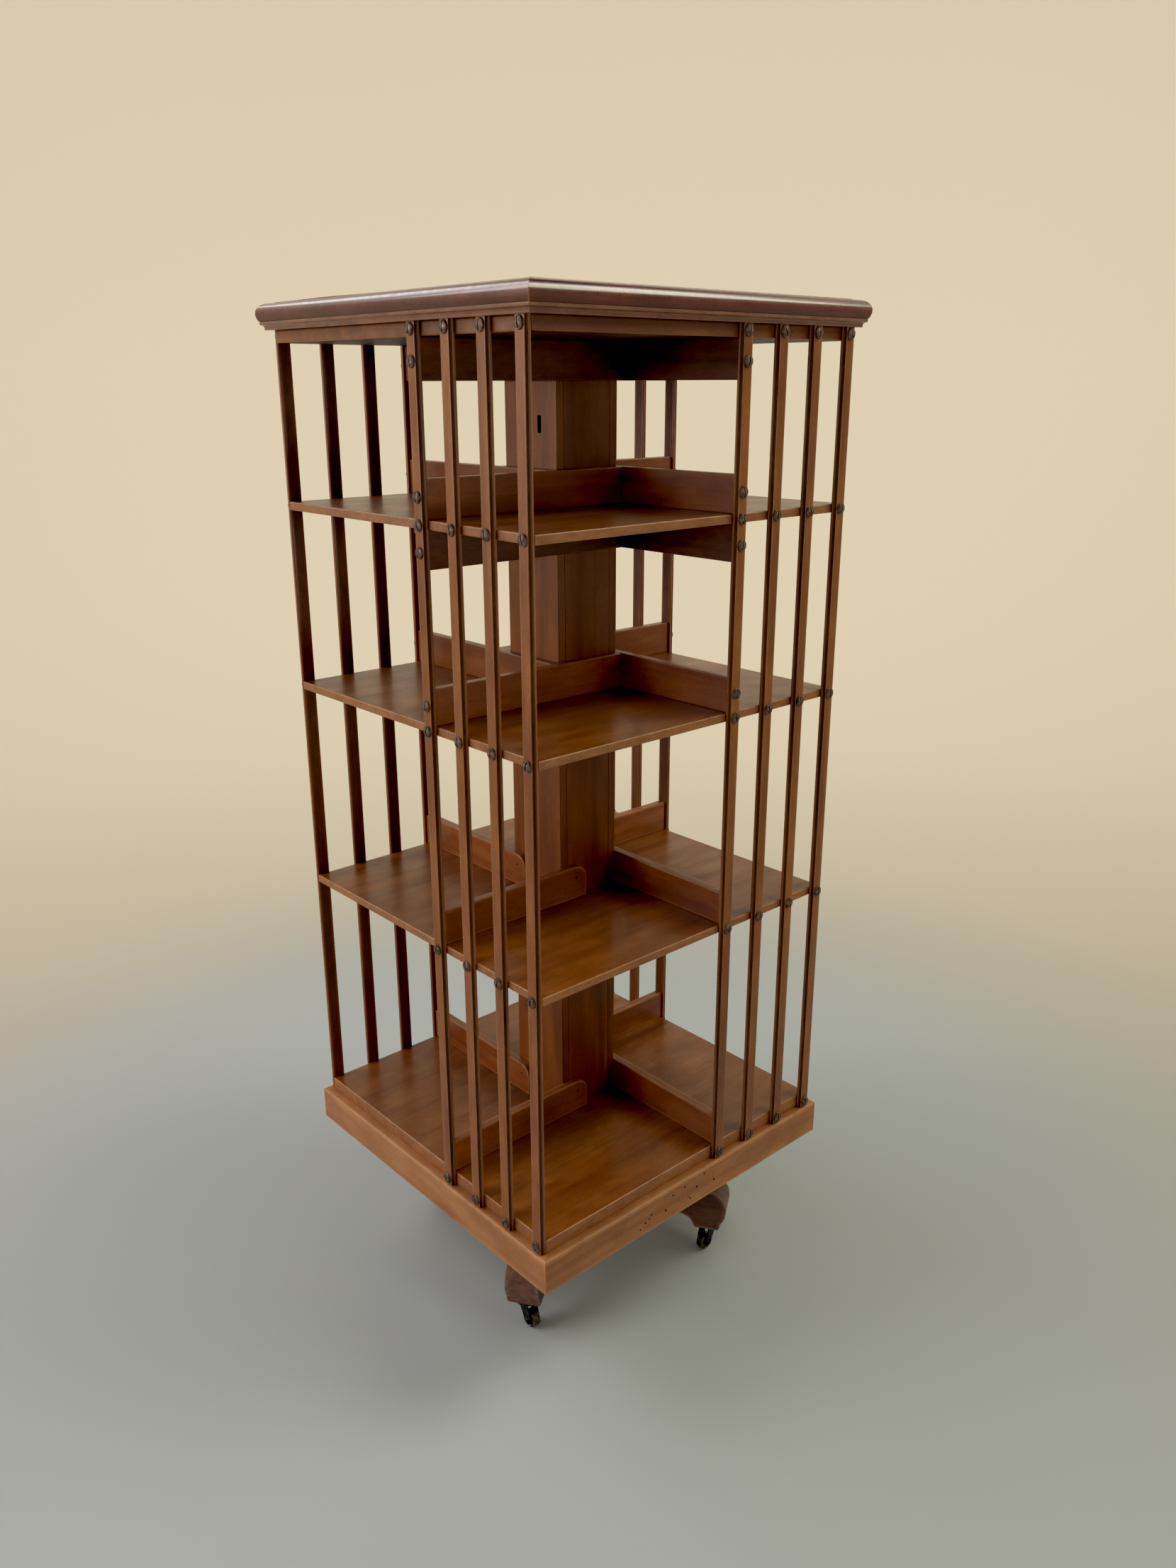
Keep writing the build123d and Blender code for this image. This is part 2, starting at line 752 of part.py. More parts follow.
with BuildPart() as caster_plates:
    for place in caster_places.values():
        with BuildSketch(under_foot(place, plate_low)):
            Circle(caster_plate_radius)
            Circle(kingpin_radius + running_fit, mode=Mode.SUBTRACT)
        extrude(amount=-caster_plate_thickness)
        sink_holes(
            under_foot(place, plate_low), plate_screw_circle, plate_screw_count, caster_plate_thickness
        )
caster_plates.part.label = "caster_plates"
save(caster_plates)

with BuildPart() as base_screws:
    for place in caster_places.values():
        screw_ring(under_foot(place, plate_low), plate_screw_circle, plate_screw_count)
    screw_ring(level(post_top + pivot_flange_thickness), pivot_screw_circle, pivot_screw_count)
base_screws.part.label = "base_screws"
save(base_screws)

horn_top = plate_low - seat_gap
neck_top = horn_top - horn_head_thickness
cheek_inside = wheel_width / 2 + hub_rise + seat_gap
kingpin_head_low = foot_bottom + seat_gap
for name, place in caster_places.items():
    swivel = Location(place.position, (0, 0, caster_turns[name]))
    upright = Plane(swivel * Location((0, 0, 0), (90, 0, 0)))
    with BuildPart() as horn:
        with BuildSketch(Plane(swivel).offset(neck_top)):
            Circle(horn_head_radius)
        extrude(amount=horn_head_thickness)
        with BuildSketch(Plane(swivel).offset(horn_top)):
            Circle(kingpin_radius)
        extrude(amount=kingpin_head_low - horn_top)
        with BuildSketch(Plane(swivel).offset(kingpin_head_low)):
            Circle(kingpin_head_radius)
        extrude(amount=kingpin_head_height)
        for near, far in (
            (cheek_inside, cheek_thickness),
            (-cheek_inside, -cheek_thickness),
        ):
            with BuildSketch(upright.offset(near)):
                with Locations((caster_trail, wheel_radius)):
                    Circle(eye_radius)
                with Locations((0, neck_top - horn_neck_depth / 2)):
                    Rectangle(horn_neck_width, horn_neck_depth)
                make_hull()
                with Locations((caster_trail, wheel_radius)):
                    Circle(axle_radius + screw_fit, mode=Mode.SUBTRACT)
            extrude(amount=far)
        axle_half = cheek_inside + cheek_thickness + joint_fit
        with BuildSketch(upright):
            with Locations((caster_trail, wheel_radius)):
                Circle(axle_radius)
        extrude(amount=axle_half, both=True)
        for near, far in ((axle_half, rivet_height), (-axle_half, -rivet_height)):
            with BuildSketch(upright.offset(near)):
                with Locations((caster_trail, wheel_radius)):
                    Circle(rivet_radius)
            extrude(amount=far)
    horn.part.label = f"caster_horn_{name}"
    save(horn)
    with BuildPart() as wheel:
        with BuildSketch(upright):
            with Locations((caster_trail, wheel_radius)):
                Circle(wheel_radius)
        extrude(amount=wheel_width / 2, both=True)
        fillet(wheel.edges().filter_by(GeomType.CIRCLE), wheel_round)
        with BuildSketch(upright):
            with Locations((caster_trail, wheel_radius)):
                Circle(hub_radius)
        extrude(amount=wheel_width / 2 + hub_rise, both=True)
        with BuildSketch(upright):
            with Locations((caster_trail, wheel_radius)):
                Circle(axle_radius + running_fit)
        extrude(amount=wheel_width, both=True, mode=Mode.SUBTRACT)
    wheel.part.label = f"caster_wheel_{name}"
    save(wheel)
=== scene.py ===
"""Looks of an antique revolving bookcase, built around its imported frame.

Everything is in metres in the frame's axes: the floor is at z = 0 and the case turns about Z.
Each side of the case is made as the front one, which faces -Y, and turned into place.
"""

import json
import math
import random
from functools import partial

import bmesh
import bpy
from bpy.props import FloatProperty, FloatVectorProperty, IntProperty, PointerProperty
from mathutils import Matrix, Vector
from mathutils.geometry import delaunay_2d_cdt


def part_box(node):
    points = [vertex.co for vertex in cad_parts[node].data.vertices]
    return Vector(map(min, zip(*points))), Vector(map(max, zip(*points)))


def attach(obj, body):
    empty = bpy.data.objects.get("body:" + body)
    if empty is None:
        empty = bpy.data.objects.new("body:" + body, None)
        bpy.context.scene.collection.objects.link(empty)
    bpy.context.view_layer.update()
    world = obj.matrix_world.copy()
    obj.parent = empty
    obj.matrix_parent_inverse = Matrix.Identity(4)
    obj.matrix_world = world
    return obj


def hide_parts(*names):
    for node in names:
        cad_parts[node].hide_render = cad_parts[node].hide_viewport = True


bl_info = {
    "name": "Revolving Bookcase",
    "version": (1, 0, 0),
    "blender": (4, 5, 0),
    "location": "View3D > Sidebar > Bookcase",
    "description": "Dresses the frame of an antique revolving bookcase in worn mahogany",
    "category": "Add Mesh",
}

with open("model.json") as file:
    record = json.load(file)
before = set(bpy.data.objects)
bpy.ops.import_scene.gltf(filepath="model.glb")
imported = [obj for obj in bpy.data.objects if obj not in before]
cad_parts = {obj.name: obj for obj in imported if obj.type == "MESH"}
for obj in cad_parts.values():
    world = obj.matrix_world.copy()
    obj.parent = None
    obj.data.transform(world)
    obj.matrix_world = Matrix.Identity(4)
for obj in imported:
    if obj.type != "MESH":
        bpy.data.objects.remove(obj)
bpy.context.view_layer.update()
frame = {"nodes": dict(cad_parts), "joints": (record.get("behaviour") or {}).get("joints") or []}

MM = 0.001
SAME_PLACE = 0.01 * MM  # points nearer to each other than this count as one
SIDES = ("front", "right", "back", "left")
CASTERS = ("back_right", "back_left", "front_left", "front_right")
BOARDS = ("bottom_board", "lower_shelf", "middle_shelf", "upper_shelf", "top_board")

# Old worm holes in the front of the plinth: how far along, how high, and radius. They are drawn
# half as large again as real ones so that they show.
WORM_HOLES = [
    (along * MM, high * MM, 1.5 * radius * MM)
    for along, high, radius in (
        (45.9, 223.1, 1.1), (23.8, 244.2, 0.9), (7.8, 228.6, 1.2), (-18.4, 240.6, 0.9),
        (-43.3, 238.2, 1.0), (-10.2, 219.4, 0.8), (-6.0, 214.4, 1.0), (-58.5, 219.8, 1.2),
        (-88.3, 227.4, 0.9), (-92.3, 221.7, 0.8), (-100.7, 219.2, 1.1), (-110.8, 212.3, 0.9),
    )
]

# Places that the frame gives
case_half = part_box("top_board")[1].x
slat_outside = -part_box("slat_front_1")[0].y
slat_bottom, slat_top = (corner.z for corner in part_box("slat_front_1"))
first_slat, last_slat = (
    (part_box(f"slat_front_{number}")[0].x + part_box(f"slat_front_{number}")[1].x) / 2
    for number in (1, 4)
)
slat_back_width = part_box("slat_front_1")[1].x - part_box("slat_front_1")[0].x
column_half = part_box("column_left")[1].y
rail_thickness = 13 * MM
rail_height = 50 * MM
moulding_low, moulding_top = (corner.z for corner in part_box("top_moulding_front"))
moulding_reach = -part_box("top_moulding_front")[0].y


def linear(code):
    """Turn an sRGB hex colour into the linear colour that Blender works in."""
    channels = [int(code[start : start + 2], 16) / 255 for start in (1, 3, 5)]
    return tuple(
        channel / 12.92 if channel <= 0.04045 else ((channel + 0.055) / 1.055) ** 2.4
        for channel in channels
    )


def length(name, description, default):
    """A size in metres that the user can change."""
    return FloatProperty(name=name, description=description, default=default, unit="LENGTH")


def colour(name, description, code):
    """A colour that the user can change, given as sRGB hex."""
    return FloatVectorProperty(
        name=name, description=description, default=linear(code), subtype="COLOR"
    )


class BookcaseSizes(bpy.types.PropertyGroup):
    """Sizes of the bookcase's details; the main sizes come from the frame."""

    board_arris: length("Board arris", "Radius of the worn edges of the boards", 1.6 * MM)
    rail_arris: length("Rail arris", "Radius of the worn edges of the rails", 1.3 * MM)
    column_arris: length("Column arris", "Radius of the edges of the column's boards", 0.7 * MM)
    plinth_arris: length("Plinth arris", "Radius of the worn edges of the plinth", 2.0 * MM)
    slat_count: IntProperty(name="Slats", description="Slats on each side", default=4, min=2)
    slat_face: length("Slat face", "Width of the flat front of a slat", 16.5 * MM)
    slat_bead: length("Slat bead", "Radius of the bead along both edges of a slat", 2.1 * MM)
    slat_cove: length("Slat cove", "Depth of the cove beside the bead", 1.0 * MM)
    screw_head: length("Screw head", "Radius of a slat screw's head", 5.8 * MM)
    screw_seat: length("Screw seat", "Height of the head's rim above the slat", 2.4 * MM)
    screw_dome: length("Screw dome", "Rise of the head above its rim", 1.2 * MM)
    screw_slot: length("Screw slot", "Width of the slot", 1.5 * MM)
    screw_slot_depth: length("Slot depth", "Depth of the slot", 1.5 * MM)
    screw_lean: FloatProperty(
        name="Slot lean", description="Greatest lean of a slot from upright",
        default=math.radians(16), subtype="ANGLE",
    )
    cup_reach: length("Cup", "Radius of a screw cup where it meets the slat", 7.9 * MM)
    cup_rim: length("Cup rim", "Radius of the top of a screw cup", 7.0 * MM)
    short_corner: length("Short rail corner", "Radius of a short rail's rounded end", 18 * MM)
    scroll: length("Scroll", "Radius of the scroll of a foot", 39 * MM)
    toe_setback: length("Toe setback", "From the scroll's widest point to the toe", 11 * MM)
    foot_length: length("Foot length", "Length of the flat under a foot", 41 * MM)
    bar_cove: length("Bar cove", "Radius of the cove between a bar and its foot", 20 * MM)
    bar_arris: length("Bar arris", "Radius of the edges of the cross bars", 2.2 * MM)
    wheel_round: length("Wheel round", "Radius of the edges of a caster wheel", 3.0 * MM)


class BookcaseColours(bpy.types.PropertyGroup):
    """Colours of the bookcase's finishes and of the stage."""

    case_light: colour("Case, light", "Light streaks of the polished case", "#9f632e")
    case_middle: colour("Case, middle", "Main colour of the polished case", "#864d1e")
    case_dark: colour("Case, dark", "Dark streaks of the polished case", "#5d2d0e")
    case_worn: colour("Case, worn", "Worn edges of the case", "#c7946a")
    rail_light: colour("Rails, light", "Light streaks of the rails", "#9f5e2b")
    rail_middle: colour("Rails, middle", "Main colour of the rails", "#87491b")
    rail_dark: colour("Rails, dark", "Dark streaks of the rails", "#5d2b0d")
    column_light: colour("Column, light", "Light streaks of the column", "#8e541a")
    column_middle: colour("Column, middle", "Main colour of the column", "#794110")
    column_dark: colour("Column, dark", "Dark streaks of the column", "#532605")
    plinth_light: colour("Plinth, light", "Light streaks of the plinth", "#be8655")
    plinth_middle: colour("Plinth, middle", "Main colour of the plinth", "#a46c3f")
    plinth_dark: colour("Plinth, dark", "Dark streaks of the plinth", "#7d4828")
    top_light: colour("Top, light", "Light streaks of the top", "#7f3d24")
    top_middle: colour("Top, middle", "Main colour of the top", "#602615")
    top_dark: colour("Top, dark", "Dark streaks of the top", "#3c1409")
    base_light: colour("Base, light", "Light streaks of the base", "#8a5e46")
    base_middle: colour("Base, middle", "Main colour of the base", "#5c3422")
    base_dark: colour("Base, dark", "Dark streaks of the base", "#2e1209")
    base_worn: colour("Base, worn", "Worn edges of the base", "#a98474")
    bronze: colour("Bronze", "Slat screws and cups", "#826a5a")
    iron: colour("Iron", "Caster horns and plates", "#4c453f")
    brass: colour("Brass", "Caster wheels and small fittings", "#75694e")
    floor: colour("Floor", "Studio floor", "#b8bfc4")
    wall: colour("Backdrop", "Paint of the studio backdrop", "#8c8474")
    glow: colour("Backdrop glow", "Light that the backdrop gives off", "#e0d2b8")


# Small helpers


def feed(node, values):
    """Link inputs of a node to the nodes or output sockets given, or set their defaults."""
    for key, value in values.items():
        if isinstance(key, int):
            socket = node.inputs[key]
        else:
            socket = next(entry for entry in node.inputs if entry.name == key and entry.enabled)
        if isinstance(value, bpy.types.Node):
            value = result(value)
        if isinstance(value, bpy.types.NodeSocket):
            node.id_data.links.new(value, socket)
        else:
            socket.default_value = value


def add_node(tree, kind, values=None, **settings):
    """Add a node: settings are its own properties, and values go to its inputs."""
    node = tree.nodes.new(kind)
    for name, value in settings.items():
        setattr(node, name, value)
    feed(node, values or {})
    return node


def result(node):
    """The first output of a node that is in use."""
    return next(out for out in node.outputs if out.enabled)


def on_side(number):
    """The turn that takes a piece made for the front side to another side."""
    return Matrix.Rotation(number * math.pi / 2, 4, "Z")


def arc(centre, radius, start, end, steps):
    """Points of an arc from one angle to another, in degrees."""
    angles = [math.radians(start + (end - start) * step / steps) for step in range(steps + 1)]
    return [
        (centre[0] + radius * math.cos(angle), centre[1] + radius * math.sin(angle))
        for angle in angles
    ]


def new_work():
    """A bmesh with the layers that the wood reads: grain, wear (wear above zero, grime and painted
    shade below it) and tone.
    """
    work = bmesh.new()
    work.verts.layers.float_vector.new("grain")
    work.verts.layers.float.new("wear")
    work.verts.layers.float.new("tone")
    return work


def bridge(work, rings):
    """Join each ring of vertices to the next with faces; a ring of one vertex is a tip."""
    for near, far in zip(rings, rings[1:]):
        count = max(len(near), len(far))
        for index in range(count):
            after = (index + 1) % count
            face = [near[index % len(near)], near[after % len(near)]]
            face += [far[after % len(far)], far[index % len(far)]]
            unique = list(dict.fromkeys(face))
            if len(unique) > 2:
                work.faces.new(unique)


def lay_grain(work, vertices, along, draw, turn=None):
    """Give vertices of one piece of wood a grain direction, a shift of its own and a tone."""
    grain = work.verts.layers.float_vector["grain"]
    tone = work.verts.layers.float["tone"]
    shift = Vector(draw.uniform(0, 9) for _ in range(3))
    own_tone = draw.uniform(-1, 1)
    order = [along] + [axis for axis in range(3) if axis != along]
    back = turn.inverted() if turn else Matrix.Identity(4)
    for vertex in vertices:
        place = back @ vertex.co
        vertex[grain] = Vector(place[axis] for axis in order) + shift
        vertex[tone] = own_tone


def mesh_of(name, work):
    """Turn a bmesh into a mesh whose faces look outward."""
    bmesh.ops.recalc_face_normals(work, faces=work.faces[:])
    mesh = bpy.data.meshes.new(name)
    work.to_mesh(mesh)
    work.free()
    return mesh


def finish_piece(name, work, material, body, replaced, sharp=40):
    """Turn a bmesh into a shown piece that rides on a body and stands for its nodes."""
    finish_mesh(name, mesh_of(name, work), material, body, replaced, sharp)


def finish_mesh(name, mesh, material, body, replaced, sharp):
    """Link a finished mesh as a shown piece; sharp is the angle of an edge that shows."""
    mesh.shade_smooth()
    mesh.set_sharp_from_angle(angle=math.radians(sharp))
    mesh.materials.clear()
    mesh.materials.append(material)
    piece = bpy.data.objects.new(name, mesh)
    bpy.context.scene.collection.objects.link(piece)
    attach(piece, body)
    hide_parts(*replaced)


def dress(material, *nodes):
    """Give a finish to nodes that keep their own shape."""
    for node in nodes:
        frame["nodes"][node].data.materials.clear()
        frame["nodes"][node].data.materials.append(material)


def grid_lines(low, high, arris, parts):
    """Grid lines along one direction of a block, close together at both arrises."""
    near = [0.0, 0.3 * arris, arris, 1.7 * arris]
    soft = 3.5 * arris
    inner = [low + soft + (high - low - 2 * soft) * part / parts for part in range(parts + 1)]
    return [low + step for step in near] + inner + [high - step for step in reversed(near)]


def add_block(
    work, low, high, arris, along, draw, parts, hole=None, turn=None, rubbed=1.0, edge=0.0,
    under=0.0,
):
    """Add one squared piece of wood with rounded arrises, and a square hole if asked.

    Rubbed, edge and under are what the arrises, the upright edges and the underside show: worn
    above nothing; below it they are darkened, as grime in joints and as painted shade where shade
    falls.
    """
    wear = work.verts.layers.float["wear"]
    lines = [grid_lines(low[axis], high[axis], arris, parts[axis]) for axis in range(3)]
    if hole:
        for axis in (0, 1):
            lines[axis] = sorted(lines[axis] + [-hole, hole])
    middles = [[(start + end) / 2 for start, end in zip(line, line[1:])] for line in lines]
    counts = [len(line) for line in middles]

    def is_wood(cell):
        if any(not 0 <= cell[axis] < counts[axis] for axis in range(3)):
            return False
        return not hole or any(abs(middles[axis][cell[axis]]) > hole for axis in (0, 1))

    corners = {}

    def corner(key):
        if key not in corners:
            place = Vector(lines[axis][key[axis]] for axis in range(3))
            core = Vector(
                min(max(place[axis], low[axis] + arris), high[axis] - arris) for axis in range(3)
            )
            away = place - core
            on_arris = sum(abs(part) > SAME_PLACE for part in away) > 1
            if on_arris:
                place = core + away.normalized() * arris
            corners[key] = work.verts.new(turn @ place if turn else place)
            on_edge = any(key[axis] in (0, counts[axis]) for axis in (0, 1))
            face = edge if on_edge else under if key[2] == 0 else 0.0
            corners[key][wear] = rubbed if on_arris else face
        return corners[key]

    for cell in (
        (x, y, z) for x in range(counts[0]) for y in range(counts[1]) for z in range(counts[2])
    ):
        if not is_wood(cell):
            continue
        for axis in range(3):
            for step in (0, 1):
                beyond = list(cell)
                beyond[axis] += 2 * step - 1
                if is_wood(beyond):
                    continue
                first, second = [other for other in range(3) if other != axis]
                face = []
                for along_first, along_second in ((0, 0), (1, 0), (1, 1), (0, 1)):
                    key = list(cell)
                    key[axis] += step
                    key[first] += along_first
                    key[second] += along_second
                    face.append(corner(tuple(key)))
                work.faces.new(face)
    lay_grain(work, corners.values(), along, draw, turn)


def add_board_from_outline(work, outline, low, high, arris, draw, turn, dusty=0.0):
    """Add a piece sawn to an outline in x and z, between two depths in y, with worn arrises.

    Dusty is the wear value that the sawn outline itself shows.
    """
    wear = work.verts.layers.float["wear"]
    depths = (low, low + 3 * arris, high - 3 * arris, high)
    rings = [[work.verts.new((x, depth, z)) for x, z in outline] for depth in depths]
    bridge(work, rings)
    caps = [work.faces.new(rings[0]), work.faces.new(rings[-1])]
    worn = bmesh.ops.bevel(
        work, geom=[edge for cap in caps for edge in cap.edges], offset=arris, segments=3,
        profile=0.5, affect="EDGES", clamp_overlap=True,
    )
    faces = set(worn["faces"])
    made = {vertex for ring in rings[1:-1] for vertex in ring}
    for vertex in made:
        vertex[wear] = dusty
    for face in faces:
        made.update(face.verts)
        for vertex in face.verts:
            vertex[wear] = 1.0
    # Of the faces with many corners, which are the flat ones, only this board's count
    flats = [
        face for face in work.faces
        if face not in faces and len(face.verts) > 8 and made.issuperset(face.verts)
    ]
    inset = bmesh.ops.inset_region(work, faces=flats, thickness=2.5 * arris, use_even_offset=True)
    inner = {vertex for face in flats for vertex in face.verts}
    made.update(vertex for face in inset["faces"] for vertex in face.verts)
    made.update(inner)
    for vertex in inner:
        vertex[wear] = 0.0
    bmesh.ops.transform(work, matrix=turn, verts=list(made))
    lay_grain(work, made, 0, draw, turn)


def add_length(work, outline, draw, turn, gap, parts):
    """Add a moulded length along x, mitred through the case's corners with a gap in the joint.

    The outline holds how far out, how high and how worn, where values below zero paint shade.
    """
    wear = work.verts.layers.float["wear"]
    near_ends = [0.0, 0.004, 0.012]
    shares = near_ends + [part / parts for part in range(1, parts)]
    shares += [1 - share for share in reversed(near_ends)]
    rings = []
    for share in shares:
        at_end = share < near_ends[1] or share > 1 - near_ends[1]
        ring = []
        for out, high, worn in outline:
            ring.append(work.verts.new(turn @ Vector(((2 * share - 1) * (out - gap), -out, high))))
            ring[-1][wear] = max(worn, 0.8) if at_end else worn
        rings.append(ring)
    bridge(work, rings)
    work.faces.new(rings[0])
    work.faces.new(rings[-1])
    lay_grain(work, [vertex for ring in rings for vertex in ring], 0, draw, turn)


def bore_worm_holes(work, front, holes, depth):
    """Sink small round holes into the flat front of a piece that faces -Y.

    Holes are given as x, z and radius. The front is cut out and filled again around them.
    """
    wear = work.verts.layers.float["wear"]

    def on_flat(vertex):
        return abs(vertex.co.y + front) < SAME_PLACE and vertex[wear] == 0

    flat = {face for face in work.faces if all(on_flat(vertex) for vertex in face.verts)}
    border = [edge for edge in work.edges if len({face in flat for face in edge.link_faces}) > 1]
    corners = list(dict.fromkeys(vertex for edge in border for vertex in edge.verts))
    bmesh.ops.delete(work, geom=list(flat), context="FACES_ONLY")
    loose = [edge for edge in work.edges if not edge.link_faces]
    bmesh.ops.delete(work, geom=loose, context="EDGES")
    places = [Vector((vertex.co.x, vertex.co.z)) for vertex in corners]
    number = {vertex: index for index, vertex in enumerate(corners)}
    edges = [tuple(number[vertex] for vertex in edge.verts) for edge in border]
    steps, clean = 10, 0.4 * MM
    last_turn = 360 * (steps - 1) / steps
    for x, z, radius in holes:
        for ring in (radius, radius + clean):
            start = len(places)
            places += [Vector(place) for place in arc((x, z), ring, 0, last_turn, steps - 1)]
            edges += [(start + step, start + (step + 1) % steps) for step in range(steps)]
    filled, _, faces, sources, _, _ = delaunay_2d_cdt(places, edges, [], 0, 0.001 * MM)
    made = []
    for place, source in zip(filled, sources):
        if source and source[0] < len(corners):
            made.append(corners[source[0]])
        else:
            made.append(work.verts.new((place.x, -front, place.y)))
    inside = 0.92  # of a hole's radius: no face has its middle nearer
    for face in faces:
        middle = sum((filled[index] for index in face), Vector((0, 0))) / len(face)
        if all((middle - Vector((x, z))).length > inside * radius for x, z, radius in holes):
            work.faces.new([made[index] for index in face])
    for x, z, radius in holes:
        rim = [
            vertex for vertex in made
            if abs((vertex.co.xz - Vector((x, z))).length - radius) < SAME_PLACE
        ]
        rim.sort(key=lambda vertex: math.atan2(vertex.co.z - z, vertex.co.x - x))
        floor = [work.verts.new(vertex.co + Vector((0, depth, 0))) for vertex in rim]
        # The holes' walls and floors are painted fully dark: painted shade inside the holes
        for vertex in rim + floor:
            vertex[wear] = -1.0
        bridge(work, [rim, floor])
        work.faces.new(floor)


def add_turned(work, profile, steps, place):
    """Add a turned shape: profile holds radius and height, from axis to axis or as a ring."""
    rings = []
    for radius, height in profile:
        angles = [2 * math.pi * step / steps for step in range(steps if radius > 0 else 1)]
        corners = [(radius * math.cos(turn), radius * math.sin(turn), height) for turn in angles]
        rings.append([work.verts.new(place @ Vector(corner)) for corner in corners])
    if len(rings[0]) > 1:
        rings.append(rings[0])
    bridge(work, rings)


def grow(name, base, tree, values):
    """Run a geometry tree on a base mesh and return the plain mesh that it makes."""
    carrier = bpy.data.objects.new(name, base)
    bpy.context.scene.collection.objects.link(carrier)
    modifier = carrier.modifiers.new(tree.name, "NODES")
    modifier.node_group = tree
    for item in tree.interface.items_tree:
        if item.in_out == "INPUT" and item.name in values:
            modifier[item.identifier] = values[item.name]
    depsgraph = bpy.context.evaluated_depsgraph_get()
    mesh = bpy.data.meshes.new_from_object(
        carrier.evaluated_get(depsgraph), preserve_all_data_layers=True, depsgraph=depsgraph
    )
    carrier.modifiers.remove(modifier)
    bpy.data.objects.remove(carrier)
    mesh.name = name
    return mesh


def new_geometry_tree(name, inputs):
    """A geometry tree with named inputs: what adds a node to it, and the inputs' sockets."""
    tree = bpy.data.node_groups.new(name, "GeometryNodeTree")
    for label, kind in {"Geometry": "Geometry", **inputs}.items():
        tree.interface.new_socket(name=label, in_out="INPUT", socket_type=f"NodeSocket{kind}")
    tree.interface.new_socket(name="Geometry", in_out="OUTPUT", socket_type="NodeSocketGeometry")
    add = partial(add_node, tree)
    return add, add("NodeGroupInput").outputs


def close_geometry_tree(add, copies, given):
    """Give each copy a tone and grain of its own, make it real and set its material."""
    for name, kind, least, most in (
        ("tone", "FLOAT", -1.0, 1.0), ("shift", "FLOAT_VECTOR", (0, 0, 0), (9, 9, 9))
    ):
        chance = add(
            "FunctionNodeRandomValue", {"Min": least, "Max": most, "Seed": given["Seed"]},
            data_type=kind,
        )
        copies = add(
            "GeometryNodeStoreNamedAttribute", {"Geometry": copies, "Name": name, "Value": chance},
            data_type=kind, domain="INSTANCE",
        )
    grain, shift = (
        add("GeometryNodeInputNamedAttribute", {"Name": name}, data_type="FLOAT_VECTOR")
        for name in ("grain", "shift")
    )
    grained = add(
        "GeometryNodeStoreNamedAttribute",
        {
            "Geometry": add("GeometryNodeRealizeInstances", {"Geometry": copies}),
            "Name": "grain",
            "Value": add("ShaderNodeVectorMath", {0: grain, 1: shift}, operation="ADD"),
        },
        data_type="FLOAT_VECTOR", domain="POINT",
    )
    dressed = add(
        "GeometryNodeSetMaterial", {"Geometry": grained, "Material": given["Material"]}
    )
    add("NodeGroupOutput", {"Geometry": dressed})
    return dressed.id_data


def slat_tree():
    """Copies one slat along a side at an even pitch, and round the four sides."""
    add, given = new_geometry_tree(
        "Slats round the case",
        {
            "Slats": "Int", "First slat": "Float", "Pitch": "Float", "Out": "Float",
            "Seed": "Int", "Material": "Material",
        },
    )
    front = add("ShaderNodeMath", {0: given["Out"], 1: -1.0}, operation="MULTIPLY")
    row = add(
        "GeometryNodeMeshLine",
        {
            "Count": given["Slats"],
            "Start Location": add("ShaderNodeCombineXYZ", {"X": given["First slat"], "Y": front}),
            "Offset": add("ShaderNodeCombineXYZ", {"X": given["Pitch"]}),
        },
        mode="OFFSET",
    )
    sides = add("GeometryNodeMeshLine", {"Count": len(SIDES), "Offset": (0, 0, 0)}, mode="OFFSET")
    side = add("GeometryNodeInputIndex")
    quarters = add("ShaderNodeMath", {0: side, 1: math.pi / 2}, operation="MULTIPLY")
    rows = add(
        "GeometryNodeInstanceOnPoints",
        {
            "Points": sides,
            "Instance": row,
            "Rotation": add("ShaderNodeCombineXYZ", {"Z": quarters}),
        },
    )
    turned = add(
        "GeometryNodeStoreNamedAttribute", {"Geometry": rows, "Name": "turn", "Value": quarters},
        data_type="FLOAT", domain="INSTANCE",
    )
    turn = add("GeometryNodeInputNamedAttribute", {"Name": "turn"}, data_type="FLOAT")
    slats = add(
        "GeometryNodeInstanceOnPoints",
        {
            "Points": add("GeometryNodeRealizeInstances", {"Geometry": turned}),
            "Instance": given["Geometry"],
            "Rotation": add("ShaderNodeCombineXYZ", {"Z": turn}),
        },
    )
    return close_geometry_tree(add, slats, given)


def screw_tree():
    """Puts a copy of one screw or cup on every point, turned to its side and leaned a little."""
    add, given = new_geometry_tree(
        "Screws on the slats",
        {"Screw": "Object", "Lean": "Float", "Seed": "Int", "Material": "Material"},
    )
    turn = add("GeometryNodeInputNamedAttribute", {"Name": "turn"}, data_type="FLOAT")
    chance = add(
        "FunctionNodeRandomValue", {"Min": -1.0, "Max": 1.0, "Seed": given["Seed"]},
        data_type="FLOAT",
    )
    lean = add("ShaderNodeMath", {0: chance, 1: given["Lean"]}, operation="MULTIPLY")
    pattern = add("GeometryNodeObjectInfo", {"Object": given["Screw"]})
    screws = add(
        "GeometryNodeInstanceOnPoints",
        {
            "Points": given["Geometry"],
            "Instance": pattern.outputs["Geometry"],
            "Rotation": add("ShaderNodeCombineXYZ", {"Y": lean, "Z": turn}),
        },
    )
    return close_geometry_tree(add, screws, given)


# Materials


def new_material(name):
    """A material with only a shader and its output, and what adds a node to it."""
    material = bpy.data.materials.new(name)
    material.use_nodes = True
    material.node_tree.nodes.clear()
    add = partial(add_node, material.node_tree)
    shader = add("ShaderNodeBsdfPrincipled")
    add("ShaderNodeOutputMaterial", {"Surface": shader})
    return material, add, shader


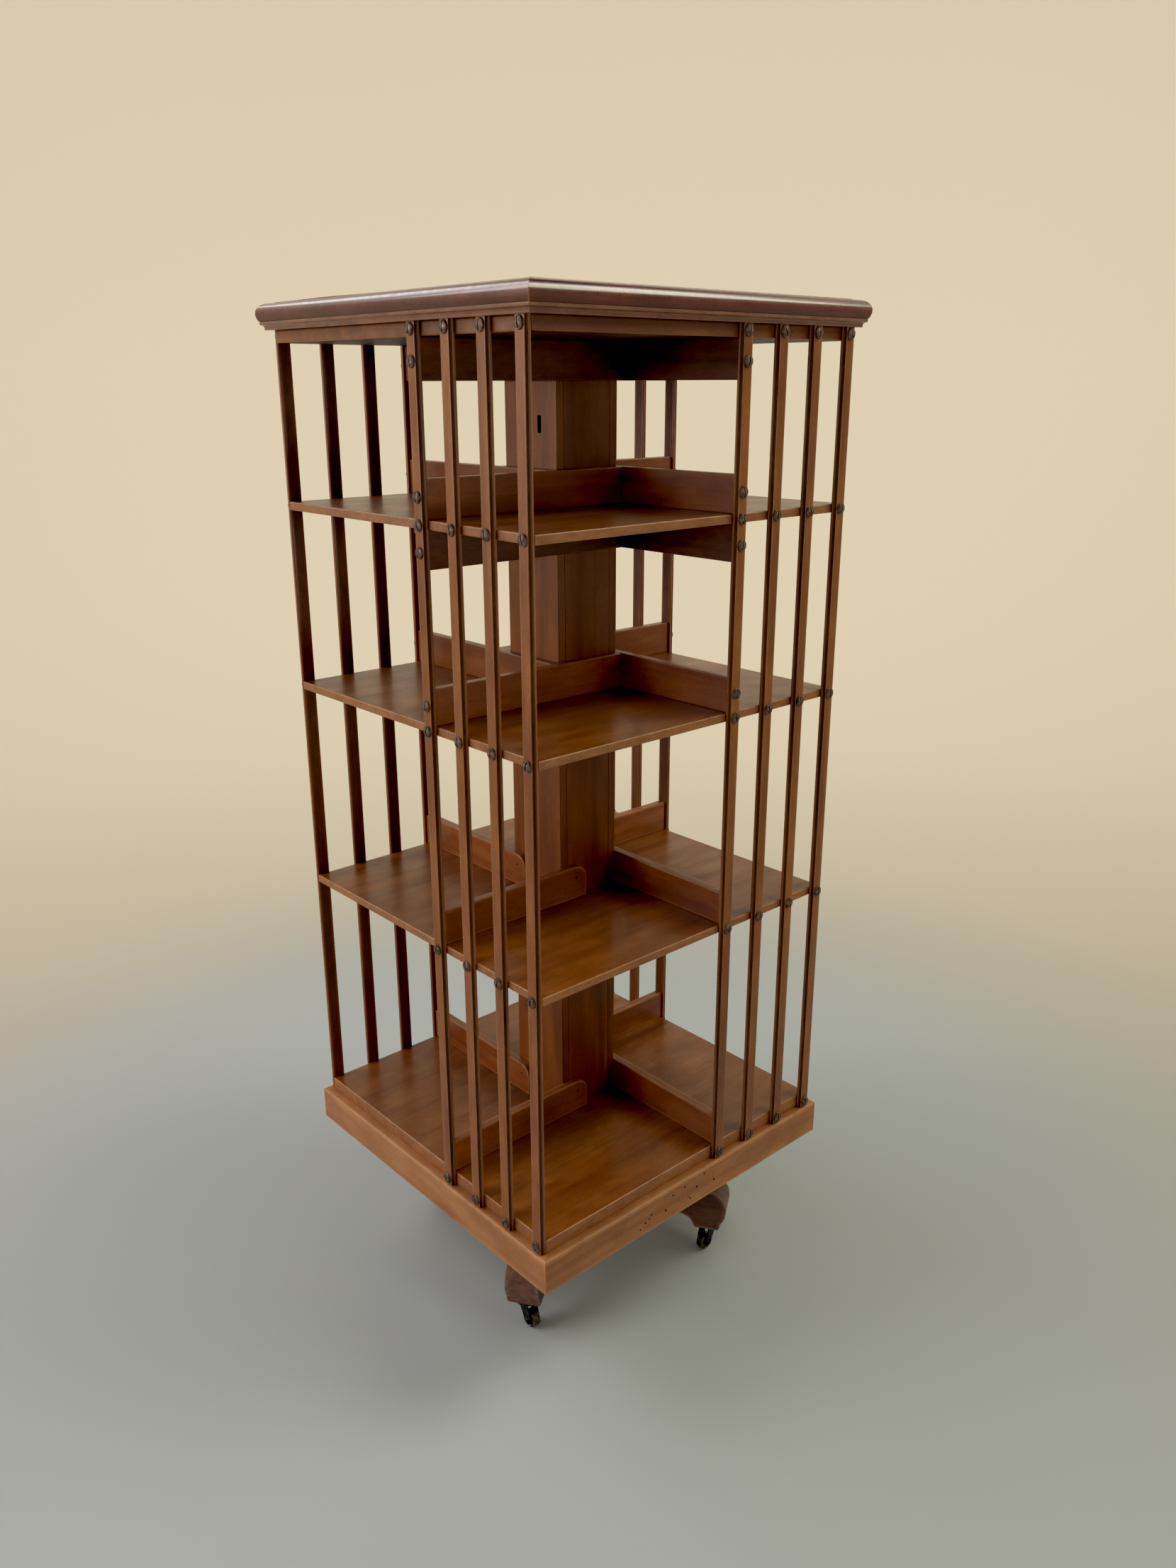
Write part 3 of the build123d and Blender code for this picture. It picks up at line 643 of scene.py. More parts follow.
def polished_wood(
    name, light, middle, dark, worn, roughness, coat, coat_roughness=0.2, figured=0.3,
    rubbed=0.6, ripple=(70 * MM, 40 * MM, 0.35 * MM), own_grain=True,
):
    """Mahogany under an old shellac polish.

    Clouds of lighter and darker wood, broad bands and open pores run along the grain. Stains and
    a patchy sheen lie over them. The polish is rubbed through to paler wood on the arrises, and
    grime fills the joints; the same darkening also paints shade into the coves, creases and worm
    holes, on undersides and over pieces that lie in shade.
    """
    _, add, shader = new_material(name)
    wear, tone = (
        add("ShaderNodeAttribute", attribute_name=layer, attribute_type="GEOMETRY").outputs["Fac"]
        for layer in ("wear", "tone")
    )
    if own_grain:
        layer = add("ShaderNodeAttribute", attribute_name="grain", attribute_type="GEOMETRY")
        grain = layer.outputs["Vector"]
    else:
        place = add("ShaderNodeTexCoord").outputs["Object"]
        grain = add("ShaderNodeMapping", {"Vector": place, "Rotation": (0, math.pi / 2, 0)})

    # Noise stretched along the grain: the length and width of its features, detail, roughness and
    # distortion. Real pores are 0.2 mm wide and are drawn 0.7 mm wide so that they show.
    patterns = []
    for along, across, detail, broken, bent in (
        (95 * MM, 34 * MM, 4.0, 0.6, 0.0),
        (600 * MM, 30 * MM, 2.0, 0.5, 0.5),
        (60 * MM, 4 * MM, 3.0, 0.6, 0.0),
        (11 * MM, 0.7 * MM, 1.0, 0.5, 0.0),
        (200 * MM, 110 * MM, 5.0, 0.65, 0.0),
        (*ripple[:2], 3.0, 0.5, 0.0),
        (28 * MM, 9 * MM, 3.0, 0.7, 0.0),
        (3.5 * MM, 2.2 * MM, 1.0, 0.5, 0.0),
    ):
        per_metre = (1 / along, 1 / across, 1 / across)
        stretched = add("ShaderNodeVectorMath", {0: grain, 1: per_metre}, operation="MULTIPLY")
        patterns.append(
            add(
                "ShaderNodeTexNoise",
                {
                    "Vector": stretched, "Scale": 1.0, "Detail": detail, "Roughness": broken,
                    "Distortion": bent,
                },
            )
        )
    mottle, bands, figure, pores, stains, sheen, rubbing, specks = patterns

    # What each pattern lays over the wood: from where to where in its range, how much there, and
    # in what colour
    wood = (*middle, 1)
    for pattern, low, high, at_low, at_high, tint in (
        (mottle, 0.42, 0.68, 0.0, 0.75, light),
        (bands, 0.48, 0.72, 0.0, 0.6, dark),
        (figure, 0.5, 0.75, 0.0, figured, dark),
        (stains, 0.5, 0.7, 0.0, 0.5, dark),
        (pores, 0.3, 0.42, 0.45, 0.0, dark),
        (specks, 0.62, 0.7, 0.0, 0.35, dark),
    ):
        share = add(
            "ShaderNodeMapRange",
            {
                "Value": pattern, "From Min": low, "From Max": high, "To Min": at_low,
                "To Max": at_high,
            },
        )
        wood = add("ShaderNodeMix", {"Factor": share, "A": wood, "B": (*tint, 1)}, data_type="RGBA")

    # Other values, each stretched from its own range to that of what it steers
    shade, bare_share, grime_and_shade_share, patchy, pits = (
        add(
            "ShaderNodeMapRange",
            {
                "Value": value, "From Min": low, "From Max": high, "To Min": at_low,
                "To Max": at_high,
            },
        )
        for value, low, high, at_low, at_high in (
            (tone, -1.0, 1.0, 0.84, 1.16),
            (rubbing, 0.3, 0.7, 0.15, 0.95 * rubbed),
            (rubbing, 0.3, 0.7, -0.6, -0.95),
            (sheen, 0.3, 0.7, roughness - 0.06, roughness + 0.08),
            (pores, 0.3, 0.45, 0.0, 1.0),
        )
    )
    bare, darkening = (
        add("ShaderNodeMath", {0: wear, 1: share}, operation="MULTIPLY", use_clamp=True)
        for share in (bare_share, grime_and_shade_share)
    )
    finish = add("ShaderNodeVectorMath", {0: wood, "Scale": shade}, operation="SCALE")
    # Rubbed wear pales the wood to the worn colour; below zero the wear layer darkens it to near
    # black, as grime in joints and as painted shade in coves, creases, worm holes, undersides,
    # hanging rails and round the column
    for amount, tint in ((bare, worn), (darkening, linear("#240f07"))):
        finish = add(
            "ShaderNodeMix", {"Factor": amount, "A": finish, "B": (*tint, 1)}, data_type="RGBA"
        )
    bare_and_darkened = add("ShaderNodeMath", {0: bare, 1: darkening}, operation="ADD", use_clamp=True)
    dull = add("ShaderNodeMath", {0: bare_and_darkened, 1: 0.3}, operation="MULTIPLY", use_clamp=True)
    polish_left = add(
        "ShaderNodeMapRange",
        {"Value": darkening, "From Min": 0.0, "From Max": 0.9, "To Min": coat, "To Max": 0.0},
    )

    ripples = add("ShaderNodeBump", {"Height": sheen, "Strength": 1.0, "Distance": ripple[2]})
    drag = add(
        "ShaderNodeBump",
        {"Height": figure, "Strength": 1.0, "Distance": 0.03 * MM, "Normal": ripples},
    )
    open_pores = add(
        "ShaderNodeBump", {"Height": pits, "Strength": 0.5, "Distance": 0.08 * MM, "Normal": drag}
    )
    feed(
        shader,
        {
            "Base Color": finish,
            "Roughness": add(
                "ShaderNodeMath", {0: patchy, 1: dull}, operation="ADD", use_clamp=True
            ),
            "Normal": open_pores,
            "IOR": 1.5,
            "Coat Weight": polish_left,
            "Coat Roughness": coat_roughness,
            "Coat IOR": 1.5,
        },
    )


def aged_metal(name, skin, dark, roughness, metallic, grime_size):
    """Old metal: a dull coloured skin with darker dirt in patches and rubbed spots."""
    _, add, shader = new_material(name)
    place = add("ShaderNodeTexCoord").outputs["Object"]
    darkening = add(
        "ShaderNodeTexNoise",
        {"Vector": place, "Scale": 1 / grime_size, "Detail": 4.0, "Roughness": 0.65},
    )
    patch = add("ShaderNodeMapRange", {"Value": darkening, "From Min": 0.38, "From Max": 0.66})
    dull = add(
        "ShaderNodeMapRange",
        {
            "Value": darkening, "From Min": 0.3, "From Max": 0.7, "To Min": roughness - 0.08,
            "To Max": roughness + 0.2,
        },
    )
    feed(
        shader,
        {
            "Base Color": add(
                "ShaderNodeMix", {"Factor": patch, "A": (*skin, 1), "B": (*dark, 1)},
                data_type="RGBA",
            ),
            "Roughness": dull,
            "Normal": add(
                "ShaderNodeBump", {"Height": darkening, "Strength": 0.3, "Distance": 0.2 * MM}
            ),
            "Metallic": metallic,
        },
    )


def finishes(colours):
    """Make every finish once, and hand it out by its plain name."""
    if "Polished mahogany, case" in bpy.data.materials:
        return bpy.data.materials
    for name, part, worn, roughness, coat, others in (
        # French polish worn thin, a soft sheen over lively wood with paler edges
        ("Polished mahogany, case", "case", "case", 0.38, 0.3, {}),
        # The same polish on rails that are seldom touched, so less rubbed
        ("Polished mahogany, rails", "rail", "case", 0.4, 0.3, {"rubbed": 0.4}),
        # Browner and darker than the case, and duller
        ("Polished mahogany, column", "column", "case", 0.42, 0.2, {}),
        # Bleached by light and only waxed, plain in figure, with edges rubbed bare
        ("Waxed mahogany, plinth", "plinth", "case", 0.46, 0.12, {"figured": 0.12, "rubbed": 0.9}),
        # Thick dark shellac, glossy, with brush ripples that break up what it mirrors
        (
            "Shellacked mahogany, top", "top", "case", 0.32, 0.8,
            {
                "coat_roughness": 0.17, "figured": 0.4, "rubbed": 0.5,
                "ripple": (9 * MM, 12 * MM, 0.14 * MM),
            },
        ),
        # A dark stain scuffed by shoes, with little gloss
        ("Stained mahogany, base", "base", "base", 0.45, 0.15, {"rubbed": 0.8}),
        # Dry wood without polish, out of sight
        ("Plain mahogany, hidden", "base", "base", 0.5, 0.05, {"own_grain": False}),
    ):
        shades = [getattr(colours, f"{part}_{shade}") for shade in ("light", "middle", "dark")]
        polished_wood(name, *shades, getattr(colours, f"{worn}_worn"), roughness, coat, **others)
    for name, skin, dark, roughness, metallic, grime_size in (
        # Brown bronzing lacquer, which hides much of the metal, with dark dirt round it
        ("Bronzed brass", colours.bronze, "#40302a", 0.48, 0.42, 5 * MM),
        # Cast iron under old blacking, grey where it has rubbed
        ("Blackened iron", colours.iron, "#1d1815", 0.45, 0.7, 8 * MM),
        # Brass that age has dulled to olive
        ("Old brass", colours.brass, "#3a3426", 0.45, 0.7, 7 * MM),
    ):
        aged_metal(name, skin, linear(dark), roughness, metallic, grime_size)
    return bpy.data.materials


# Operators


class BOOKCASE_OT_boards(bpy.types.Operator):
    """Build the bottom board, the shelves and the top board"""

    bl_idname = "bookcase.boards"
    bl_label = "Boards and shelves"

    def execute(self, context):
        sizes = context.scene.bookcase_sizes
        wood = finishes(context.scene.bookcase_colours)["Polished mahogany, case"]
        draw = random.Random(11)
        hole_share = 0.73  # half the square hole's width, as a share of the ring's radius
        holes = {"bottom_board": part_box("guide_ring")[1].x * hole_share, "top_board": None}
        shade_reach = 150 * MM  # how far painted shade reaches over the shelves from the column
        for name in BOARDS:
            low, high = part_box(name)
            is_top = name == "top_board"
            work = new_work()
            add_block(
                # The top board is painted dark beneath and on its edges, and the shelves a little
                # beneath: painted shade
                work, low, high, sizes.board_arris, 0, draw, parts=(8, 8, 1),
                hole=holes.get(name, column_half),
                rubbed=0.4 if is_top else 1.5,
                edge=-0.3 if is_top else 0.6,
                under=-1.0 if is_top else -0.2,
            )
            wear = work.verts.layers.float["wear"]
            # Painted shade on the shelves' tops round the column, darkest against it
            for vertex in work.verts:
                deep = 1 - (max(abs(vertex.co.x), abs(vertex.co.y)) - column_half) / shade_reach
                if vertex.co.z > high.z - SAME_PLACE and vertex[wear] == 0 and deep > 0:
                    vertex[wear] = -0.6 * deep
            finish_piece(f"worn_{name}", work, wood, "case", [name])
        return {"FINISHED"}


class BOOKCASE_OT_slats(bpy.types.Operator):
    """Build the moulded slats, four to a side"""

    bl_idname = "bookcase.slats"
    bl_label = "Slats"

    def execute(self, context):
        sizes = context.scene.bookcase_sizes
        wood = finishes(context.scene.bookcase_colours)["Polished mahogany, case"]
        thickness = slat_outside - case_half
        bead, back, face = sizes.slat_bead, slat_back_width / 2, sizes.slat_face / 2
        root = back - bead
        arris = 0.5 * MM
        cove = ((root + face) / 2 - sizes.slat_cove, (2 * bead + thickness) / 2)
        # Each point is x, depth and wear: the back, which faces into the case, and the coves are
        # painted dark as shade, and the bead and the front arrises are worn paler
        half = [(0.0, 0.0, -0.6), (root * 0.6, 0.0, -0.6), (root, 0.0, 0.0)]
        half += [(x, high, 0.3) for x, high in arc((root, bead), bead, -90, 90, 8)[1:-2]]
        half += [
            (root, 2 * bead, -0.8), (*cove, -0.9), (face - 0.25 * MM, thickness - 1.2 * MM, -0.5),
            (face, thickness - arris, 0.6), (face - arris, thickness, 0.8),
            (face - 1.6 * MM, thickness, 0.1), (face - 4 * MM, thickness, 0.0),
        ]
        outline = half + [(-x, high, worn) for x, high, worn in reversed(half[1:])]
        work = new_work()
        wear = work.verts.layers.float["wear"]
        grain = work.verts.layers.float_vector["grain"]
        rings = []
        parts = 16
        for part in range(parts + 1):
            height = slat_bottom + (slat_top - slat_bottom) * part / parts
            ring = []
            for x, out, worn in outline:
                vertex = work.verts.new((x, -out, height))
                vertex[wear] = worn
                vertex[grain] = (height, x, out)
                ring.append(vertex)
            rings.append(ring)
        bridge(work, rings)
        work.faces.new(rings[0])
        work.faces.new(rings[-1])
        values = {
            "Slats": sizes.slat_count,
            "First slat": first_slat,
            "Pitch": (last_slat - first_slat) / (sizes.slat_count - 1),
            "Out": case_half,
            "Seed": 3,
            "Material": wood,
        }
        mesh = grow("moulded_slats", mesh_of("one_slat", work), slat_tree(), values)
        nodes = [f"slat_{side}_{number}" for side in SIDES for number in (1, 2, 3, 4)]
        finish_mesh("moulded_slats", mesh, wood, "case", nodes, sharp=55)
        return {"FINISHED"}


def screw_places(sizes):
    """A mesh of one point for each slat screw, with the turn of its side."""
    boards = [(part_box(name)[0].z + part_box(name)[1].z) / 2 for name in BOARDS]
    rail_rise = 28 * MM
    extra = [
        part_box("top_board")[0].z - rail_rise,
        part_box("upper_shelf")[0].z - rail_rise,
        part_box("upper_shelf")[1].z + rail_rise,
        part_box("middle_shelf")[1].z + rail_rise,
    ]
    pitch = (last_slat - first_slat) / (sizes.slat_count - 1)
    points, turns = [], []
    for side in range(len(SIDES)):
        for number in range(sizes.slat_count):
            for height in boards + (extra if number == 0 else []):
                place = Vector((first_slat + pitch * number, -slat_outside, height))
                points.append(on_side(side) @ place)
                turns.append(side * math.pi / 2)
    mesh = bpy.data.meshes.new("screw_places")
    mesh.from_pydata(points, [], [])
    mesh.attributes.new("turn", "FLOAT", "POINT").data.foreach_set("value", turns)
    mesh.attributes.new("grain", "FLOAT_VECTOR", "POINT")
    return mesh


class BOOKCASE_OT_screws(bpy.types.Operator):
    """Build the slotted round-head screws and their cups"""

    bl_idname = "bookcase.screws"
    bl_label = "Slat screws and cups"

    def execute(self, context):
        sizes = context.scene.bookcase_sizes
        bronze = finishes(context.scene.bookcase_colours)["Bronzed brass"]
        places = screw_places(sizes)
        head, slot = sizes.screw_head, sizes.screw_slot / 2
        upright = Matrix.Rotation(math.pi / 2, 4, "X")
        dome_radius = (head**2 + sizes.screw_dome**2) / (2 * sizes.screw_dome)
        rows = 8

        # A grid over the head, with two columns sunk for the slot
        work = new_work()
        half = [(x * head, True) for x in (0.98, 0.85, 0.6, 0.35)] + [(slot, True), (slot, False)]
        grid = []
        for x, on_dome in [(-x, on_dome) for x, on_dome in half] + list(reversed(half)):
            reach = math.sqrt(head**2 - x**2)
            column = []
            for row in range(rows + 1):
                y = reach * (2 * row / rows - 1)
                rise = math.sqrt(dome_radius**2 - x**2 - y**2) - dome_radius + sizes.screw_dome
                if not on_dome:
                    rise -= sizes.screw_slot_depth
                column.append(work.verts.new(upright @ Vector((x, y, sizes.screw_seat + rise))))
            grid.append(column)
        for near, far in zip(grid, grid[1:]):
            for row in range(rows):
                work.faces.new((near[row], far[row], far[row + 1], near[row + 1]))
        rim = [column[0] for column in grid] + [column[-1] for column in reversed(grid)]
        foot_depth = 0.2 * MM
        foot = [work.verts.new((vertex.co.x, foot_depth, vertex.co.z)) for vertex in rim]
        bridge(work, [rim, foot])
        work.faces.new(list(reversed(grid[0])))
        work.faces.new(grid[-1])
        screw = mesh_of("one_screw", work)

        work = new_work()
        rim_height = 2.5 * MM
        bore = head + 0.1 * MM
        profile = [
            (sizes.cup_reach, 0.0), (sizes.cup_reach - 0.15 * MM, 1.0 * MM),
            (sizes.cup_rim + 0.35 * MM, 2.1 * MM), (sizes.cup_rim, rim_height),
            (head + 0.35 * MM, rim_height), (bore, rim_height - 0.4 * MM), (bore, 0.3 * MM),
        ]
        add_turned(work, profile, 22, upright)
        cup = mesh_of("one_cup", work)

        tree = screw_tree()
        for name, one, node, slot_name, lean in (
            ("slotted_screws", screw, "slat_screws", "bronzed_screw", sizes.screw_lean),
            ("turned_cups", cup, "screw_cups", "bronzed_cup", 0.0),
        ):
            pattern = bpy.data.objects.new(f"pattern_{name}", one)
            context.scene.collection.objects.link(pattern)
            values = {"Screw": pattern, "Lean": lean, "Seed": 5, "Material": bronze}
            mesh = grow(name, places.copy(), tree, values)
            bpy.data.objects.remove(pattern)
            finish_mesh(name, mesh, bronze, "case", [node], sharp=35)
        return {"FINISHED"}


class BOOKCASE_OT_rails(bpy.types.Operator):
    """Build the hanging rails, the long stop rails and the short stop rails"""

    bl_idname = "bookcase.rails"
    bl_label = "Rails"

    def execute(self, context):
        sizes = context.scene.bookcase_sizes
        wood = finishes(context.scene.bookcase_colours)["Polished mahogany, rails"]
        draw = random.Random(23)
        arris, corner = sizes.rail_arris, sizes.short_corner
        rail_out = column_half + rail_thickness
        joint = 0.1 * MM
        hanging = (
            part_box("top_board")[0].z - rail_height,
            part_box("upper_shelf")[0].z - rail_height,
        )
        standing = (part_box("upper_shelf")[1].z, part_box("middle_shelf")[1].z)
        # Hanging rails lie in the shade under the boards and are painted dark all over, arrises
        # too: painted shade
        for node, floors, painted_shade in (
            ("hanging_rails", hanging, -0.6), ("long_stop_rails", standing, 0.0)
        ):
            work = new_work()
            for floor in floors:
                low = Vector((column_half, -case_half, floor))
                high = Vector((rail_out, column_half - joint, floor + rail_height))
                for side in range(len(SIDES)):
                    add_block(
                        work, low, high, arris, 1, draw, parts=(1, 5, 1), turn=on_side(side),
                        rubbed=0.8 + 2 * painted_shade, edge=painted_shade, under=painted_shade,
                    )
            finish_piece(f"worn_{node}", work, wood, "case", [node])

        overlap = 40 * MM  # how far a short rail runs across the column
        end = overlap - column_half
        work = new_work()
        for floor in (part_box("lower_shelf")[1].z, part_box("bottom_board")[1].z):
            top = floor + rail_height
            outline = [(-case_half, floor), (end, floor)]
            outline += arc((end - corner, top - corner), corner, 0, 90, 8) + [(-case_half, top)]
            for side in range(len(SIDES)):
                place = on_side(side) @ Matrix.Rotation(math.pi / 2, 4, "Z")
                add_board_from_outline(work, outline, -rail_out, -column_half, arris, draw, place)
        finish_piece(
            "worn_short_stop_rails", work, wood, "case", ["short_stop_rails"]
        )
        return {"FINISHED"}


class BOOKCASE_OT_column(bpy.types.Operator):
    """Build the four boards of the centre column"""

    bl_idname = "bookcase.column"
    bl_label = "Centre column"

    def execute(self, context):
        arris = context.scene.bookcase_sizes.column_arris
        materials = finishes(context.scene.bookcase_colours)
        wood = materials["Polished mahogany, column"]
        draw = random.Random(31)
        for side in SIDES:
            node = f"column_{side}"
            low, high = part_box(f"column_{side}")
            work = new_work()
            add_block(work, low, high, arris, 2, draw, parts=(3, 3, 12), rubbed=-1.0)
            finish_piece(f"column_board_{side}", work, wood, "case", [node])
        dress(materials["Blackened iron"], "column_plate", "rail_pins")
        return {"FINISHED"}


class BOOKCASE_OT_plinth(bpy.types.Operator):
    """Build the mitred plinth"""

    bl_idname = "bookcase.plinth"
    bl_label = "Plinth"

    def execute(self, context):
        arris = context.scene.bookcase_sizes.plinth_arris
        wood = finishes(context.scene.bookcase_colours)["Waxed mahogany, plinth"]
        draw = random.Random(41)
        low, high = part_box("plinth_rail_front")
        out, inner = -low.y, -high.y
        outline = [(inner, low.z, 0.0), (inner, high.z, 0.0), (out - 4 * arris, high.z, 0.0)]
        outline += [(x, z, 1.0) for x, z in arc((out - arris, high.z - arris), arris, 90, 0, 4)]
        outline += [
            (out, high.z - 4 * arris, 0.0), (out, (low.z + high.z) / 2, 0.0),
            (out, low.z + 3 * arris, 0.0), (out, low.z + 0.5 * arris, 0.9),
            (out - 0.5 * arris, low.z, 0.9), (out - 3 * arris, low.z, 0.0),
        ]
        for number, side in enumerate(SIDES):
            work = new_work()
            add_length(work, outline, draw, on_side(number), gap=0.1 * MM, parts=14)
            if side == "front":
                bore_worm_holes(work, out, WORM_HOLES, 3 * MM)
                lay_grain(work, work.verts, 0, draw)
            finish_piece(
                f"worn_plinth_{side}", work, wood, "case", [f"plinth_rail_{side}"]
            )
        return {"FINISHED"}


class BOOKCASE_OT_top(bpy.types.Operator):
    """Build the mitred top moulding and the raised panel"""

    bl_idname = "bookcase.top"
    bl_label = "Top moulding and panel"

    def execute(self, context):
        wood = finishes(context.scene.bookcase_colours)["Shellacked mahogany, top"]
        draw = random.Random(53)
        panel_low, panel_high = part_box("top_panel")
        inner = moulding_reach - 50 * MM
        foot_out = case_half + 11.2 * MM
        foot_high = moulding_low + 2.1 * MM
        cove = 4.6 * MM
        fillet_out = foot_out + cove
        fillet_low = foot_high + cove
        nose_low = fillet_low + 4.6 * MM
        nose_out = fillet_out + 0.8 * MM
        upper, lower = 13 * MM, 19 * MM  # radii of the two halves of the nose
        nose_middle = moulding_top - upper
        drop = math.degrees(math.asin((nose_middle - nose_low) / lower))
        outline = [
            (inner, moulding_low, 0.0), (foot_out - 4 * MM, moulding_low, 0.0),
            (foot_out - 0.3 * MM, moulding_low, 0.6), (foot_out, moulding_low + 0.3 * MM, 0.55),
            (foot_out, foot_high - 0.2 * MM, 0.55),
        ]
        outline += [(x, z, 0.5) for x, z in arc((fillet_out, foot_high), cove, 180, 90, 6)[:-1]]
        # The creases at the foot of the fillet and under the nose are painted dark, as shade
        outline += [
            (fillet_out - 0.2 * MM, fillet_low + 0.05 * MM, -0.6),
            (fillet_out, fillet_low + 0.3 * MM, 0.75), (fillet_out, nose_low - 0.8 * MM, 0.75),
            (fillet_out, nose_low - 0.2 * MM, -0.9), (nose_out - 0.1 * MM, nose_low, -0.9),
        ]
        # The nose's underside is painted darker towards the bottom, as shade
        outline += [
            (x, z, 0.5 * (z - nose_middle) / (nose_middle - nose_low))
            for x, z in arc((moulding_reach - lower, nose_middle), lower, -drop, 0, 8)
        ]
        bow = arc((moulding_reach - upper, nose_middle), upper, 0, 90, 9)[1:]
        outline += [(x, z, 0.0) for x, z in bow]
        outline += [
            (case_half, moulding_top, 0.0), (case_half, panel_low.z, 0.0),
            (inner, panel_low.z, 0.0),
        ]
        for number, side in enumerate(SIDES):
            node = f"top_moulding_{side}"
            work = new_work()
            add_length(work, outline, draw, on_side(number), gap=0.12 * MM, parts=16)
            finish_piece(f"bullnose_{side}", work, wood, "case", [node], sharp=50)

        # The panel has sunk a little but for a swell at its left edge
        work = new_work()
        add_block(work, panel_low, panel_high, 0.9 * MM, 1, draw, parts=(12, 12, 1))
        lifted = Vector((panel_low.x, 140 * MM))
        sunk, swell = 0.9 * MM, 70 * MM
        for vertex in work.verts:
            if vertex.co.z > (panel_low.z + panel_high.z) / 2:
                away = (vertex.co.xy - lifted).length / swell
                vertex.co.z -= sunk * (1 - math.exp(-away * away))
        finish_piece("raised_panel", work, wood, "case", ["top_panel"])
        return {"FINISHED"}


class BOOKCASE_OT_base(bpy.types.Operator):
    """Build the two cross bars with their scrolled feet"""

    bl_idname = "bookcase.base"
    bl_label = "Cross bars and feet"

    def execute(self, context):
        sizes = context.scene.bookcase_sizes
        materials = finishes(context.scene.bookcase_colours)
        wood = materials["Stained mahogany, base"]
        draw = random.Random(61)
        foot_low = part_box("lower_cross_bar")[0].z
        bar_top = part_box("lower_cross_bar")[1].z
        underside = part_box("centre_post")[0].z
        reach = 275.5 * MM
        width = 51.6 * MM
        base_turn = math.radians(34.3)
        scroll, cove = sizes.scroll, sizes.bar_cove
        middle = (reach - scroll, bar_top - scroll)
        toe_out = reach - sizes.toe_setback
        toe_in = toe_out - sizes.foot_length
        toe_angle = math.degrees(math.acos((toe_out - middle[0]) / scroll))
        halving = (bar_top + underside) / 2
        small = 1.2 * MM  # the toe's worn corners
        foot = arc(middle, scroll, 90, -toe_angle, 26)
        foot += [
            (toe_out, foot_low + small), (toe_out - small, foot_low),
            (toe_in + small, foot_low), (toe_in, foot_low + small),
        ]
        foot += arc((toe_in - cove, underside - cove), cove, 0, 90, 8)
        notch = width / 2 + 0.1 * MM
        for node, turn, right in (
            ("lower_cross_bar", base_turn, [(notch, halving), (notch, bar_top)] + foot),
            (
                "upper_cross_bar", base_turn + math.pi / 2,
                foot + [(notch, underside), (notch, halving)],
            ),
        ):
            outline = [(-x, z) for x, z in right] + list(reversed(right))
            place = Matrix.Rotation(turn, 4, "Z")
            work = new_work()
            add_board_from_outline(
                work, outline, -width / 2, width / 2, sizes.bar_arris, draw, place, dusty=0.45
            )
            finish_piece(f"scrolled_{node}", work, wood, "base", [node])
        dress(materials["Plain mahogany, hidden"], "centre_post", "pivot_bearer")
        dress(
            materials["Blackened iron"],
            "pivot_pin", "post_collar", "base_screws", "bearing_screws", "caster_plates",
        )
        dress(materials["Old brass"], "pivot_cup", "guide_ring")
        return {"FINISHED"}


